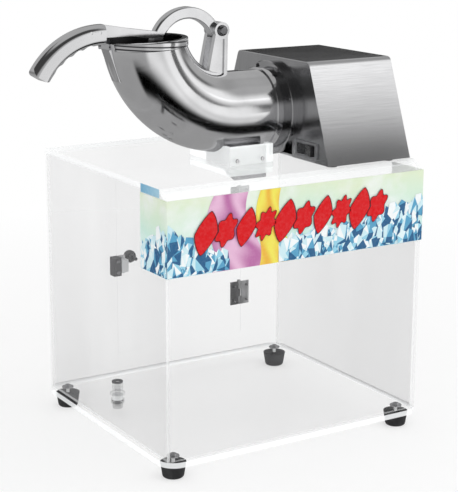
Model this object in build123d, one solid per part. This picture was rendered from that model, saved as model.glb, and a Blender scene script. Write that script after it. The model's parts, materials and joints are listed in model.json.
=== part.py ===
from build123d import *
import math
import os

# Lever-fed ice shaver on a clear display cabinet.
# Millimetres, +Z up. X runs to the right along the cabinet's front, Y runs to the back.
# The cabinet is modelled about X = Y = 0 with Z = 0 under its feet; the whole part is
# moved sideways at the end, so that the origin is the bottom centre of its box.

# ---------------------------------------------------------------- driving dimensions
# Cabinet
CAB_W = 430.0            # width over the side panels
CAB_D = 378.0            # depth over the front and back panels
CAB_H = 390.0            # underside of the base plate to the top plate's top face
PANEL_T = 5.0            # clear sheet of the four walls and the door
BASE_T = 8.0
TOP_T = 8.0
BASE_LIP = 6.0           # the base plate stands out past the walls by this
BASE_CORNER_R = 26.0
BEVEL_BACK = 20.0        # the front wall leans back over this depth at its top
BEVEL_DROP = 13.0        # height of that leaning strip
SIGN_H = 106.0           # printed band on the front
SIGN_RETURN = 72.0       # length of the band along each side
SIGN_T = 1.2
FACE_GAP = 0.1           # film to panel

# Feet and drain
FOOT_H = 22.0
FOOT_TOP_D = 37.0
FOOT_LOW_D = 30.0
FOOT_INSET_X = 19.0      # foot centre to the outside of the side panel
FOOT_INSET_Y = 21.0
FOOT_EDGE_R = 4.0
FOOT_SCREW_D = 5.0
FOOT_SCREW_GRIP = 14.0   # screw length inside the foot
WASHER_D = 18.0
WASHER_T = 1.5
FOOT_HEAD_T = 3.0
FOOT_HEAD_ROUND = 1.5
FOOT_SOCKET_R = 1.6
FOOT_SOCKET_DEPTH = 1.5
DRAIN_X = -144.0
DRAIN_Y = 98.0
DRAIN_D = 17.2           # shank through the base plate
DRAIN_BORE = 9.0
DRAIN_FLANGE_D = 24.0
DRAIN_FLANGE_T = 3.0
DRAIN_NUT_T = 5.0
SPIGOT_D = 16.0          # hose spigot under the nut
SPIGOT_L = 6.0
SPIGOT_NECK_D = 14.0
SPIGOT_NECK_L = 3.0
DRAIN_UP = 22.0          # height above the cabinet floor

# Back door
DOOR_X0 = -95.0          # free edge
DOOR_X1 = 137.5          # hinge edge
DOOR_LOW = 43.0          # above the underside of the base plate
DOOR_H = 296.0
DOOR_GAP = 1.5
HINGE_H = 40.0
HINGE_LEAF = 18.0        # one leaf's width from the pin
HINGE_T = 1.5
HINGE_INSET = 66.0       # hinge centre to the door's top and bottom edges
PIN_D = 3.0
PIN_HEAD_T = 1.5
LEAF_SCREW_IN = 6.0      # screw to the leaf's free edge, and to its ends
LEAF_SCREW_END = 7.0
KNUCKLE_D = 6.0
RUN_GAP = 0.05           # radial running clearance of pins and shafts
END_GAP = 0.3            # axial running clearance
SCREW_D = 3.0
SCREW_HEAD_D = 6.0
SCREW_HEAD_T = 2.0
SCREW_SLOT = 0.8
CATCH_W = 13.0
CATCH_H = 30.0
CATCH_DEPTH = 15.0
CATCH_OVERHANG = 11.0    # part of the catch behind the door
CATCH_SCREW_END = 6.0
STRIKE_T = 1.2
STRIKE_EDGE = 0.5        # from the door's free edge
STRIKE_PAST = 1.0        # past the catch
KNOB_D = 20.0
KNOB_X = -65.0
KNOB_RISE = 6.0          # above the catch's middle
KNOB_NECK = 6.0
KNOB_STUD = 6.0
KNOB_NUT_T = 5.0

# Shaving head: an elbow hopper whose lower end lies along the blade axis
AXIS_Y = -24.0
BEND_X = -27.0           # bend centre
BEND_R = 133.0
TUBE_R = 58.4
TUBE_WALL = 3.6
SEAM_X = -42.0           # weld between the bend and the straight tube
MOUTH_DROP = 22.0        # the mouth lies below the bend centre by this
MOUTH_TILT = 2.5         # degrees
RIM_H = 10.0
RIM_T = 4.6
RIM_LIP = 2.0
RIM_ROUND = 1.5
RIM_GROOVE = 2.0         # width of the groove round the rim
RIM_GROOVE_DEPTH = 1.0
NOTCH_W = 48.0           # gap in the rim, under the lever's bar
PAD_W = 24.0             # flat pad on the outside of the hopper, which carries the rest bumper
PAD_H = 56.0
PAD_PROUD = 1.5
PAD_LEAN = 0.29          # the pad leans in by this share of its height
PAD_ROOT = 12.0
BUMPER_W = 12.0
BUMPER_ROUND = 1.0
TUBE_END_X = 35.0
CLAMP_W = 9.5
CLAMP_T = 2.2
CLAMP_CHAMFER = 0.6
CLAMP_SCREW_IN = 0.8     # the screw's tip ends this far outside the bore
CLAMP_HEAD_R = 2.25
CLAMP_HEAD_T = 1.2
CLAMP_SCREW_D = 2.5
CLAMP_ANGLES = (139.5, 319.5)
JOINT_GAP = 0.2
FLANGE_X = 48.5
FLANGE_T = 10.0
FLANGE_RIM = 11.3        # the flange stands out past the neck by this
FLANGE_FLOAT = 0.3       # flange above the top plate
FLANGE_CHAMFER = 1.2
FLANGE_BOLT_EDGE = 4.3   # bolt centre to the flange's edge
FLANGE_BOLT_D = 4.0
FLANGE_HEAD_T = 3.0
FLANGE_BOLT_TIP = 5.0
FLANGE_BOLT_ANGLES = (20.0, 65.0, 115.0, 160.0)

# Discharge
SPOUT_X0 = -46.0
SPOUT_X1 = 15.0
SPOUT_BACK = -8.0
SPOUT_WALL = 3.0
SPOUT_TOP = 24.0         # above the top plate's top face
SPOUT_DROP = 8.0         # the spout ends this far below the top plate's top face
SPOUT_LIP = 15.0         # its front wall ends this much lower still
SPOUT_LIP_Y = 18.0       # depth of the slanted lower edge behind the front wall
SPOUT_CORNER = 8.0
CHUTE_X0 = -50.0
CHUTE_X1 = 24.0
CHUTE_Y0 = -80.0
CHUTE_Y1 = 32.0
CHUTE_WALL = 4.0
CHUTE_UP = 27.0          # above the top plate's top face
CHUTE_DOWN = 16.0
CHUTE_FIT = 0.5          # round the chute in the top plate
OUTLET_X0 = 5.0          # slot in the underside of the tube, behind the blade disc
OUTLET_X1 = 12.0
OUTLET_Y0 = -58.0
OUTLET_Y1 = -12.0
CHUTE_SCREW_UP = 6.0
CHUTE_SCREW_IN = 9.0     # from the spout's sides

# Lever
PIVOT_DX = -11.0         # pivot from the bend centre
PIVOT_DROP = 14.0
LEVER_T = 14.0
LEVER_ROUND = 2.5
ARCH_R = 51.0            # centre line of the arch
ARCH_W = 16.8
ARCH_REACH = 51.2        # arch centre to the left of the pivot
ARCH_DROP = 24.4         # and below it
ARCH_START = 22.0        # degrees
ARCH_END = 202.0
PUSH_ARM_W = 16.0
PUSH_ARM_START = 197.0
PUSH_ANGLE = 264.0       # pusher plate at rest, about the pivot
PUSH_GAP_RADIAL = 7.8    # pusher plate to the hopper's bore, in the bend's plane
PUSH_GAP_LATERAL = 5.8   # and across it
PUSH_T = 8.0
PUSH_ROUND = 2.0
PUSH_FOOT_R = 18.0
PUSH_FOOT_T = 6.0
PUSH_SCREW_R = 14.0
PUSH_SCREW_ANGLES = (60.0, 120.0, 240.0, 300.0)
BAR_LOW = 6.5            # the bar's underside above the mouth
BAR_H_ROOT = 17.5        # bar height at the grip, part of the way along, and at the arch
BAR_H_MID = 10.5
BAR_H_ARCH = 4.5
BAR_SAG = 5.5            # the underside is this much lower where it meets the arch
BAR_GAP = 5.0            # grip's root to the hopper's outside
REST_GAP = 0.3
BOSS_R = 12.0
PIVOT_D = 10.0
CHEEK_T = 8.0
CHEEK_GAP = 0.4
CHEEK_LEFT = 29.0        # foot of the cheek's leaning rib, left of the pivot
CHEEK_RIGHT = 8.0        # foot of its upright rib, right of the pivot
CHEEK_RIB = 5.5
CHEEK_POCKET = 2.5
CHEEK_POCKET_LEFT = 2.0  # top of the pocket, left and right of the pivot
CHEEK_POCKET_RIGHT = 4.0
PIVOT_HEAD_R = 8.0
PIVOT_HEAD_T = 5.0
PIVOT_HEAD_ROUND = 4.5
NUT_R = 8.0
NUT_T = 6.0

# Grip
GRIP_R = 124.3           # outer radius of the curved grip
GRIP_H = 29.3
GRIP_W = 25.0
GRIP_CREST = 24.6        # top of the grip above the mouth
GRIP_CREST_ANGLE = 2.5   # the crest is this far past the root
GRIP_START = 86.0
GRIP_SWEEP = 63.5
GRIP_ROUND = 9.0
GRIP_NECK = 12.5         # degrees of plain underside at the root
GRIP_NECK_CUT = 1.8
SCALLOPS = 4
SCALLOP_R = 11.0
SCALLOP_DEPTH = 3.8
SCALLOP_FIRST = 16.6     # degrees from the grip's root
SCALLOP_STEP = 10.8
TANG_L = 30.0
TANG_H = 10.0
TANG_T = 8.0
TANG_DROP = 1.0          # below the middle of the bar's end
TANG_FIT = 0.1
GRIP_PIN_D = 4.0
GRIP_PIN_SPOTS = (0.3, 0.75)  # shares of the tang's length
GRIP_PIN_SUNK = 0.5

# Spindle and motor
SHAFT_D = 12.0
SHAFT_PAST = 3.0         # beyond the spindle nut
SHOULDER_L = 12.0
DISC_X = -6.0
DISC_T = 8.0
DISC_GAP = 2.8           # disc's rim to the hopper's bore
BLADES = 3
BLADE_L = 34.0
BLADE_W = 15.0
BLADE_T = 2.0
BLADE_R = 29.0
SLOT_W = 7.0
BLADE_SCREW_D = 4.0
BLADE_SCREW_EDGE = 3.0
BLADE_HEAD_R = 3.2
BLADE_HEAD_T = 1.5
SPIN_NUT_T = 7.0
SPIN_NUT_R = 9.5
CARRIER_T = 12.0
BEARING_R = 16.0
MOTOR_X = 84.0
MOTOR_R = 55.0
MOTOR_L = 82.0
BELL_T = 12.0
MOTOR_WALL = 6.0
ROTOR_R = 36.0
ROTOR_L = 60.0
MOUNT_T = 8.0
MOUNT_W = 118.0
MOUNT_FOOT = 8.0         # length of its foot
MOUNT_HOLE_R = 24.0
MOUNT_BOLT_R = 42.0
MOUNT_BOLT_D = 6.0
MOUNT_BOLT_ANGLES = (45.0, 135.0, 225.0, 315.0)
MOTOR_HEAD_T = 4.0
MOTOR_BOLT_SHORT = 1.0

# Motor housing
HOUSE_L = 146.0
HOUSE_TOP_D = 188.0
HOUSE_LOW_D = 296.0
HOUSE_H = 143.0
SHEET_T = 1.5
SHEET_FIT = 0.1
HOUSE_ROUND = 9.0
CUT_INSET = 3.2          # the left end plate's cut-out is narrower than the neck by this, each side
FRAME_T = 3.0
FRAME_RAIL = 34.0
FRAME_FIT = 1.92         # frame to the housing's slopes
LUG_W = 16.0
LUG_BACK = 8.0           # lug's inner face to the outside of the slope
LUG_TOP = 6.0            # lug above its screw
COVER_SCREW_UP = 10.0    # above the housing's lower edge
COVER_SCREW_IN = 25.0    # from the housing's ends
COVER_SCREW_SEAT = 1.2   # the slope's lean under the screw's head
PAD_FOOT_D = 16.0
PAD_FOOT_H = 3.0
PAD_FOOT_EDGE = 16.0     # foot centre to the housing's edges
PAD_FOOT_RIGHT = 30.0    # and to its right end
VENTS = 8
VENT_L = 60.0
VENT_W = 4.0
VENT_STEP = 10.0
SWITCH_INSET = 56.0      # switch centre to the housing's front edge
SWITCH_Z = 17.0          # above the housing's lower edge
SWITCH_L = 56.0
SWITCH_W = 23.0
SWITCH_T = 2.0
SWITCH_ROUND = 2.0
WINDOW_MARGIN = 2.0      # window beyond the rocker's place
SWITCH_BOX_WALL = 2.0
ROCKER_L = 44.0
ROCKER_W = 15.0
ROCKER_FIT = 0.4
ROCKER_ANGLE = 8.0       # each way
ROCKER_PROUD = 3.0
ROCKER_END = 0.6         # rocker shorter than its place, each end
ROCKER_DEPTH = 6.0
ROCKER_TAPER = 1.0
SWITCH_BOX_D = 16.0
GLAND_D = 20.0
GLAND_BORE = 8.0
GLAND_L = 16.0
GLAND_Y = 60.0
GLAND_Z = 30.0
GLAND_STEP = 3.0
GLAND_ROUND = 4.0
GLAND_TAIL = 8.0

# ---------------------------------------------------------------- derived places
Z_BASE = FOOT_H
Z_FLOOR = Z_BASE + BASE_T
Z_TOP = Z_BASE + CAB_H
Z_UNDER = Z_TOP - TOP_T
X_SIDE = CAB_W / 2
Y_FRONT = -CAB_D / 2
Y_BACK = CAB_D / 2
Y_BEVEL = Y_FRONT + BEVEL_BACK
Z_SIGN = Z_TOP - BEVEL_DROP
FLANGE_R = TUBE_R + FLANGE_RIM
FLANGE_BOLT_R = FLANGE_R - FLANGE_BOLT_EDGE
AXIS_Z = Z_TOP + FLANGE_R + FLANGE_FLOAT
BEND_Z = AXIS_Z + BEND_R
TUBE_IN = TUBE_R - TUBE_WALL
CLAMP_R = TUBE_R + CLAMP_T
CUT_HALF = TUBE_R - CUT_INSET
DISC_R = TUBE_IN - DISC_GAP
MOUTH_Z = BEND_Z - MOUTH_DROP
MOUTH_X = BEND_X - math.sqrt(BEND_R**2 - MOUTH_DROP**2)
PIVOT_X = BEND_X + PIVOT_DX
PIVOT_Z = BEND_Z - PIVOT_DROP
PUSH_R = PIVOT_Z - AXIS_Z
PUSH_RADIAL = 2 * (TUBE_IN - PUSH_GAP_RADIAL)
PUSH_LATERAL = 2 * (TUBE_IN - PUSH_GAP_LATERAL)
LEVER_Y0 = AXIS_Y - LEVER_T / 2
LEVER_Y1 = AXIS_Y + LEVER_T / 2
ARCH_X = PIVOT_X - ARCH_REACH
ARCH_Z = PIVOT_Z - ARCH_DROP
ROOT_X = MOUTH_X - TUBE_R - BAR_GAP
BAR_Z = MOUTH_Z + BAR_LOW
FLANGE_END = FLANGE_X + FLANGE_T
HOUSE_X0 = FLANGE_END
HOUSE_X1 = HOUSE_X0 + HOUSE_L
HOUSE_Z0 = Z_TOP + PAD_FOOT_H
HOUSE_Z1 = HOUSE_Z0 + HOUSE_H
HOUSE_SLOPE = (HOUSE_LOW_D - HOUSE_TOP_D) / 2 / HOUSE_H
SWITCH_Y = AXIS_Y - HOUSE_LOW_D / 2 + SWITCH_INSET
Z_NUT = Z_BASE - DRAIN_NUT_T
Z_SPIGOT = Z_NUT - SPIGOT_NECK_L - SPIGOT_L
DOOR_Z0 = Z_BASE + DOOR_LOW
DOOR_Z1 = DOOR_Z0 + DOOR_H
HINGE_X = DOOR_X1 + DOOR_GAP / 2
HINGE_Y = Y_BACK + KNUCKLE_D / 2
HINGE_ZS = (DOOR_Z0 + HINGE_INSET, DOOR_Z1 - HINGE_INSET)
CATCH_Z = (DOOR_Z0 + DOOR_Z1) / 2
KNOB_Z = CATCH_Z + KNOB_RISE


# ---------------------------------------------------------------- small helpers
def block(x0, x1, y0, y1, z0, z1):
    """Box between two opposite corners."""
    middle = Pos((x0 + x1) / 2, (y0 + y1) / 2, (z0 + z1) / 2)
    return middle * Box(x1 - x0, y1 - y0, z1 - z0)


def rod_x(x0, x1, y, z, radius):
    return Pos((x0 + x1) / 2, y, z) * Rot(0, 90, 0) * Cylinder(radius, x1 - x0)


def rod_y(y0, y1, x, z, radius):
    return Pos(x, (y0 + y1) / 2, z) * Rot(90, 0, 0) * Cylinder(radius, y1 - y0)


def rod_z(z0, z1, x, y, radius):
    return Pos(x, y, (z0 + z1) / 2) * Cylinder(radius, z1 - z0)


def tube_x(x0, x1, y, z, outer, inner):
    return rod_x(x0, x1, y, z, outer) - rod_x(x0 - 1, x1 + 1, y, z, inner)


def outline(points):
    return make_face(Polyline(*points, close=True))


def slab_xz(sketch, y0, y1):
    """Sketch drawn as (x, z), as thick as from y0 to y1."""
    return extrude(Plane.XZ.offset(-y1) * sketch, amount=y1 - y0)


def slab_yz(sketch, x0, x1):
    """Sketch drawn as (y, z), as thick as from x0 to x1."""
    return extrude(Plane.YZ.offset(x0) * sketch, amount=x1 - x0)


def slab_xy(sketch, z0, z1):
    return extrude(Plane.XY.offset(z0) * sketch, amount=z1 - z0)


def polar(cx, cz, radius, degrees):
    angle = math.radians(degrees)
    return (cx + radius * math.cos(angle), cz + radius * math.sin(angle))


def sector(cx, cz, inner, outer, start, end):
    """Piece of a flat ring between two angles."""
    steps = max(2, math.ceil((end - start) / 45))
    rim = [polar(cx, cz, 2 * outer, start + (end - start) * i / steps) for i in range(steps + 1)]
    ring = Pos(cx, cz) * (Circle(outer) - Circle(inner))
    return ring & outline([(cx, cz)] + rim)


def hexagon_x(x0, x1, y, z, radius):
    return slab_yz(Pos(y, z) * RegularPolygon(radius, 6), x0, x1)


def hexagon_y(y0, y1, x, z, radius):
    return slab_xz(Pos(x, z) * RegularPolygon(radius, 6), y0, y1)


def pan_screw_y(x, z, head_y, tip_y):
    """Screw along Y: the head's flat side at head_y, the tip at tip_y."""
    out = 1 if head_y > tip_y else -1
    head_end = head_y + out * SCREW_HEAD_T
    head = rod_y(min(head_y, head_end), max(head_y, head_end), x, z, SCREW_HEAD_D / 2)
    shank = rod_y(min(head_y, tip_y), max(head_y, tip_y), x, z, SCREW_D / 2)
    slot_y = head_end - out * SCREW_HEAD_T / 2
    slot = block(x - SCREW_SLOT / 2, x + SCREW_SLOT / 2, min(slot_y, head_end),
                 max(slot_y, head_end), z - SCREW_HEAD_D, z + SCREW_HEAD_D)
    return head + shank - slot


# ---------------------------------------------------------------- cabinet
def foot_places():
    x = X_SIDE - FOOT_INSET_X
    y = CAB_D / 2 - FOOT_INSET_Y
    return [(-x, -y), (x, -y), (-x, y), (x, y)]


def base_plate():
    plan = RectangleRounded(CAB_W + 2 * BASE_LIP, CAB_D + 2 * BASE_LIP, BASE_CORNER_R)
    plate = slab_xy(plan, Z_BASE, Z_FLOOR)
    for x, y in foot_places():
        plate -= rod_z(Z_BASE - 1, Z_FLOOR + 1, x, y, FOOT_SCREW_D / 2 + RUN_GAP)
    return plate - rod_z(Z_BASE - 1, Z_FLOOR + 1, DRAIN_X, DRAIN_Y, DRAIN_D / 2 + RUN_GAP)


def bevel_points():
    """Corners of the leaning strip's inner side, where it meets the wall and the top plate."""
    length = math.hypot(BEVEL_BACK, BEVEL_DROP)
    rise = BEVEL_DROP / BEVEL_BACK
    y_in = Y_FRONT + PANEL_T
    low = PANEL_T * length / BEVEL_BACK
    return (y_in, Z_SIGN + rise * PANEL_T - low), (Y_BEVEL, Z_TOP - low)


def front_panel():
    bend, end = bevel_points()
    profile = [(Y_FRONT, Z_FLOOR), (Y_FRONT, Z_SIGN), (Y_BEVEL, Z_TOP), end, bend,
               (Y_FRONT + PANEL_T, Z_FLOOR)]
    return slab_yz(outline(profile), -X_SIDE, X_SIDE)


def side_panel(side):
    bend, end = bevel_points()
    y_back = Y_BACK - PANEL_T
    profile = [(Y_FRONT + PANEL_T, Z_FLOOR), bend, end, (Y_BEVEL, Z_UNDER), (y_back, Z_UNDER),
               (y_back, Z_FLOOR)]
    outer = side * X_SIDE
    inner = outer - side * PANEL_T
    return slab_yz(outline(profile), min(inner, outer), max(inner, outer))


def back_panel():
    wall = block(-X_SIDE, X_SIDE, Y_BACK - PANEL_T, Y_BACK, Z_FLOOR, Z_UNDER)
    wall -= block(DOOR_X0 - DOOR_GAP, DOOR_X1 + DOOR_GAP, Y_BACK - PANEL_T - 1, Y_BACK + 1,
                  DOOR_Z0 - DOOR_GAP, DOOR_Z1 + DOOR_GAP)
    for x, z in leaf_screws(1):
        wall -= rod_y(Y_BACK - PANEL_T - 1, Y_BACK + 1, x, z, SCREW_D / 2 + RUN_GAP)
    for x, z in catch_screw_places():
        wall -= rod_y(Y_BACK - PANEL_T - 1, Y_BACK + 1, x, z, SCREW_D / 2 + RUN_GAP)
    return wall


def top_plate():
    plate = block(-X_SIDE, X_SIDE, Y_BEVEL, Y_BACK, Z_UNDER, Z_TOP)
    return plate - block(CHUTE_X0 - CHUTE_FIT, CHUTE_X1 + CHUTE_FIT, CHUTE_Y0 - CHUTE_FIT,
                         CHUTE_Y1 + CHUTE_FIT, Z_UNDER - 1, Z_TOP + 1)


def sign_panel():
    """Printed band, bent round the two front corners."""
    inner = FACE_GAP
    outer = FACE_GAP + SIGN_T
    back = Y_FRONT + SIGN_RETURN
    shell = block(-X_SIDE - outer, X_SIDE + outer, Y_FRONT - outer, back, Z_SIGN - SIGN_H, Z_SIGN)
    return shell - block(-X_SIDE - inner, X_SIDE + inner, Y_FRONT - inner, back + 1,
                         Z_SIGN - SIGN_H - 1, Z_SIGN + 1)


def rubber_feet():
    feet = []
    for x, y in foot_places():
        foot = Pos(x, y, FOOT_H / 2) * Rot(180, 0, 0) * Cone(FOOT_TOP_D / 2, FOOT_LOW_D / 2, FOOT_H)
        foot = fillet(foot.edges().group_by(Axis.Z)[0], FOOT_EDGE_R)
        feet.append(foot - rod_z(FOOT_H - FOOT_SCREW_GRIP, FOOT_H + 1, x, y,
                                 FOOT_SCREW_D / 2 + RUN_GAP))
    return feet


def foot_washers():
    washers = []
    for x, y in foot_places():
        washers.append(rod_z(Z_FLOOR, Z_FLOOR + WASHER_T, x, y, WASHER_D / 2)
                       - rod_z(Z_FLOOR - 1, Z_FLOOR + WASHER_T + 1, x, y, FOOT_SCREW_D / 2 + RUN_GAP))
    return washers


def foot_screws():
    seat = Z_FLOOR + WASHER_T
    screws = []
    for x, y in foot_places():
        head = rod_z(seat, seat + FOOT_HEAD_T, x, y, FOOT_SCREW_D)
        head = fillet(head.edges().group_by(Axis.Z)[-1], FOOT_HEAD_ROUND)
        head -= slab_xy(Pos(x, y) * RegularPolygon(FOOT_SOCKET_R, 6),
                        seat + FOOT_HEAD_T - FOOT_SOCKET_DEPTH, seat + FOOT_HEAD_T + 1)
        screws.append(head + rod_z(FOOT_H - FOOT_SCREW_GRIP + 1, seat, x, y, FOOT_SCREW_D / 2))
    return screws


def drain_fitting():
    """Overflow tube with a flange on the cabinet's floor and a hose spigot below."""
    top = Z_FLOOR + DRAIN_UP
    body = rod_z(Z_NUT, top, DRAIN_X, DRAIN_Y, DRAIN_D / 2)
    body += rod_z(Z_FLOOR, Z_FLOOR + DRAIN_FLANGE_T, DRAIN_X, DRAIN_Y, DRAIN_FLANGE_D / 2)
    body += rod_z(Z_SPIGOT, Z_NUT, DRAIN_X, DRAIN_Y, SPIGOT_NECK_D / 2)
    body += rod_z(Z_SPIGOT, Z_SPIGOT + SPIGOT_L, DRAIN_X, DRAIN_Y, SPIGOT_D / 2)
    return body - rod_z(Z_SPIGOT - 1, top + 1, DRAIN_X, DRAIN_Y, DRAIN_BORE / 2)


def drain_nut():
    nut = slab_xy(Pos(DRAIN_X, DRAIN_Y) * RegularPolygon(DRAIN_FLANGE_D / 2, 6), Z_NUT, Z_BASE)
    return nut - rod_z(Z_NUT - 1, Z_BASE + 1, DRAIN_X, DRAIN_Y, DRAIN_D / 2 + RUN_GAP)


# ---------------------------------------------------------------- back door
def leaf_screws(side):
    """Screw places in the two hinges: side 1 is the fixed leaf, side -1 the door's."""
    x = HINGE_X + side * (HINGE_LEAF - LEAF_SCREW_IN)
    reach = HINGE_H / 2 - LEAF_SCREW_END
    return [(x, z + dz) for z in HINGE_ZS for dz in (-reach, reach)]


def hinge_leaves(side):
    """Two leaves with their knuckles: the fixed one holds the end knuckles, the door's the middle."""
    third = HINGE_H / 3
    leaves = []
    for z in HINGE_ZS:
        near = HINGE_X + side * (KNUCKLE_D / 2 + END_GAP)
        far = HINGE_X + side * HINGE_LEAF
        leaf = block(min(near, far), max(near, far), Y_BACK, Y_BACK + HINGE_T,
                     z - HINGE_H / 2, z + HINGE_H / 2)
        spans = [(-1.5, -0.5), (0.5, 1.5)] if side > 0 else [(-0.5, 0.5)]
        for low, high in spans:
            z0 = z + low * third + (0 if low == -1.5 else END_GAP / 2)
            z1 = z + high * third - (0 if high == 1.5 else END_GAP / 2)
            leaf += rod_z(z0, z1, HINGE_X, HINGE_Y, KNUCKLE_D / 2)
            leaf += block(min(HINGE_X, near + side), max(HINGE_X, near + side), Y_BACK,
                          Y_BACK + HINGE_T, z0, z1)
        leaf -= rod_z(z - HINGE_H, z + HINGE_H, HINGE_X, HINGE_Y, PIN_D / 2 + RUN_GAP)
        for x, screw_z in leaf_screws(side):
            leaf -= rod_y(Y_BACK - 1, Y_BACK + HINGE_T + 1, x, screw_z, SCREW_D / 2 + RUN_GAP)
        leaves.append(leaf)
    return leaves


def hinge_pins():
    pins = []
    for z in HINGE_ZS:
        pin = rod_z(z - HINGE_H / 2, z + HINGE_H / 2, HINGE_X, HINGE_Y, PIN_D / 2)
        pin += rod_z(z + HINGE_H / 2, z + HINGE_H / 2 + PIN_HEAD_T, HINGE_X, HINGE_Y,
                     KNUCKLE_D / 2)
        pins.append(pin)
    return pins


def hinge_screws(side):
    seat = Y_BACK + HINGE_T
    return [pan_screw_y(x, z, seat, Y_BACK - PANEL_T) for x, z in leaf_screws(side)]


def back_door():
    door = block(DOOR_X0, DOOR_X1, Y_BACK - PANEL_T, Y_BACK, DOOR_Z0, DOOR_Z1)
    for x, z in leaf_screws(-1):
        door -= rod_y(Y_BACK - PANEL_T - 1, Y_BACK + 1, x, z, SCREW_D / 2 + RUN_GAP)
    return door - rod_y(Y_BACK - PANEL_T - 1, Y_BACK + 1, KNOB_X, KNOB_Z, SCREW_D / 2 + RUN_GAP)


def door_knob():
    """Turned knob with its threaded stud, and a cap nut inside the door."""
    inner = Y_BACK - PANEL_T
    front = Y_BACK + KNOB_NECK
    neck = rod_y(Y_BACK, front, KNOB_X, KNOB_Z, KNOB_D / 4)
    head = rod_y(front, front + KNOB_D * 0.6, KNOB_X, KNOB_Z, KNOB_D / 2)
    head = fillet(head.edges().filter_by(GeomType.CIRCLE), KNOB_D * 0.2)
    stud = rod_y(inner - KNOB_STUD, Y_BACK, KNOB_X, KNOB_Z, SCREW_D / 2)
    nut = hexagon_y(inner - KNOB_NUT_T, inner, KNOB_X, KNOB_Z, SCREW_D)
    return neck + head + stud + nut


def catch_x0():
    return DOOR_X0 - DOOR_GAP - CATCH_W


def catch_screw_places():
    x = catch_x0() + CATCH_W / 2
    reach = CATCH_H / 2 - CATCH_SCREW_END
    return [(x, CATCH_Z - reach), (x, CATCH_Z + reach)]


def magnetic_catch():
    """Magnet case on the wall, reaching behind the door's free edge."""
    inner = Y_BACK - PANEL_T
    case = block(catch_x0(), catch_x0() + CATCH_W, inner - CATCH_DEPTH, inner,
                 CATCH_Z - CATCH_H / 2, CATCH_Z + CATCH_H / 2)
    case += block(catch_x0() + CATCH_W, DOOR_X0 + CATCH_OVERHANG, inner - CATCH_DEPTH,
                  inner - STRIKE_T - END_GAP, CATCH_Z - CATCH_H / 3, CATCH_Z + CATCH_H / 3)
    for x, z in catch_screw_places():
        case -= rod_y(inner - CATCH_DEPTH - 1, inner + 1, x, z, SCREW_D / 2 + RUN_GAP)
    return case


def catch_screws():
    seat = Y_BACK - PANEL_T - CATCH_DEPTH
    return [pan_screw_y(x, z, seat, Y_BACK) for x, z in catch_screw_places()]


def strike_plate():
    inner = Y_BACK - PANEL_T
    return block(DOOR_X0 + STRIKE_EDGE, DOOR_X0 + CATCH_OVERHANG + STRIKE_PAST, inner - STRIKE_T,
                 inner, CATCH_Z - CATCH_H / 2, CATCH_Z + CATCH_H / 2)


# ---------------------------------------------------------------- hopper
def elbow_solid(radius, end_x, extra=0.0):
    """Filled elbow: a quarter bend from the mouth plane to the blade axis, then straight."""
    section = Plane(origin=(BEND_X, AXIS_Y, AXIS_Z), z_dir=(1, 0, 0)) * Circle(radius)
    hinge = Axis((BEND_X, AXIS_Y, BEND_Z), (0, 1, 0))
    bend = revolve(section, axis=hinge, revolution_arc=90)
    reach = BEND_R + 2 * TUBE_R
    cover = Pos(MOUTH_X, AXIS_Y, MOUTH_Z + extra) * Rot(0, -MOUTH_TILT, 0) * Pos(0, 0, reach / 2)
    bend -= cover * Box(2 * reach, 2 * reach, reach)
    return bend + rod_x(BEND_X, end_x, AXIS_Y, AXIS_Z, radius)


def whole_hopper():
    """Bend and straight tube in one, with the pad, the clamp's holes and the outlet."""
    tube = elbow_solid(TUBE_R, TUBE_END_X)
    pad_x = MOUTH_X - TUBE_R - PAD_PROUD
    lean = PAD_H * PAD_LEAN
    profile = outline([(pad_x, MOUTH_Z - RIM_LIP), (pad_x, MOUTH_Z - RIM_H),
                       (pad_x + lean, MOUTH_Z - PAD_H), (pad_x + lean + PAD_ROOT, MOUTH_Z - PAD_H),
                       (MOUTH_X - TUBE_IN, MOUTH_Z - RIM_LIP)])
    pad = slab_xz(profile, AXIS_Y - PAD_W / 2, AXIS_Y + PAD_W / 2)
    tube += pad - elbow_solid(TUBE_R - TUBE_WALL / 2, TUBE_END_X, extra=20)
    tube -= elbow_solid(TUBE_IN, TUBE_END_X + 1, extra=20)
    for angle in CLAMP_ANGLES:
        tube -= radial_place(TUBE_END_X - CLAMP_W / 4, angle) * clamp_hole()
    outlet = block(OUTLET_X0, OUTLET_X1, OUTLET_Y0, OUTLET_Y1, AXIS_Z - TUBE_R - 5, AXIS_Z)
    return tube - outlet


def left_of_seam():
    """Room that holds the hopper's bend up to the weld."""
    return block(MOUTH_X - 2 * TUBE_R, SEAM_X, AXIS_Y - 2 * TUBE_R, AXIS_Y + 2 * TUBE_R,
                 AXIS_Z - 2 * TUBE_R, MOUTH_Z + TUBE_R)


def elbow_hopper():
    """Bend of the hopper, from its mouth to the weld."""
    return whole_hopper() & left_of_seam()


def hopper_tube():
    """Straight tube of the hopper, from the weld to the collar, with the outlet below."""
    return whole_hopper() - left_of_seam()


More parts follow.
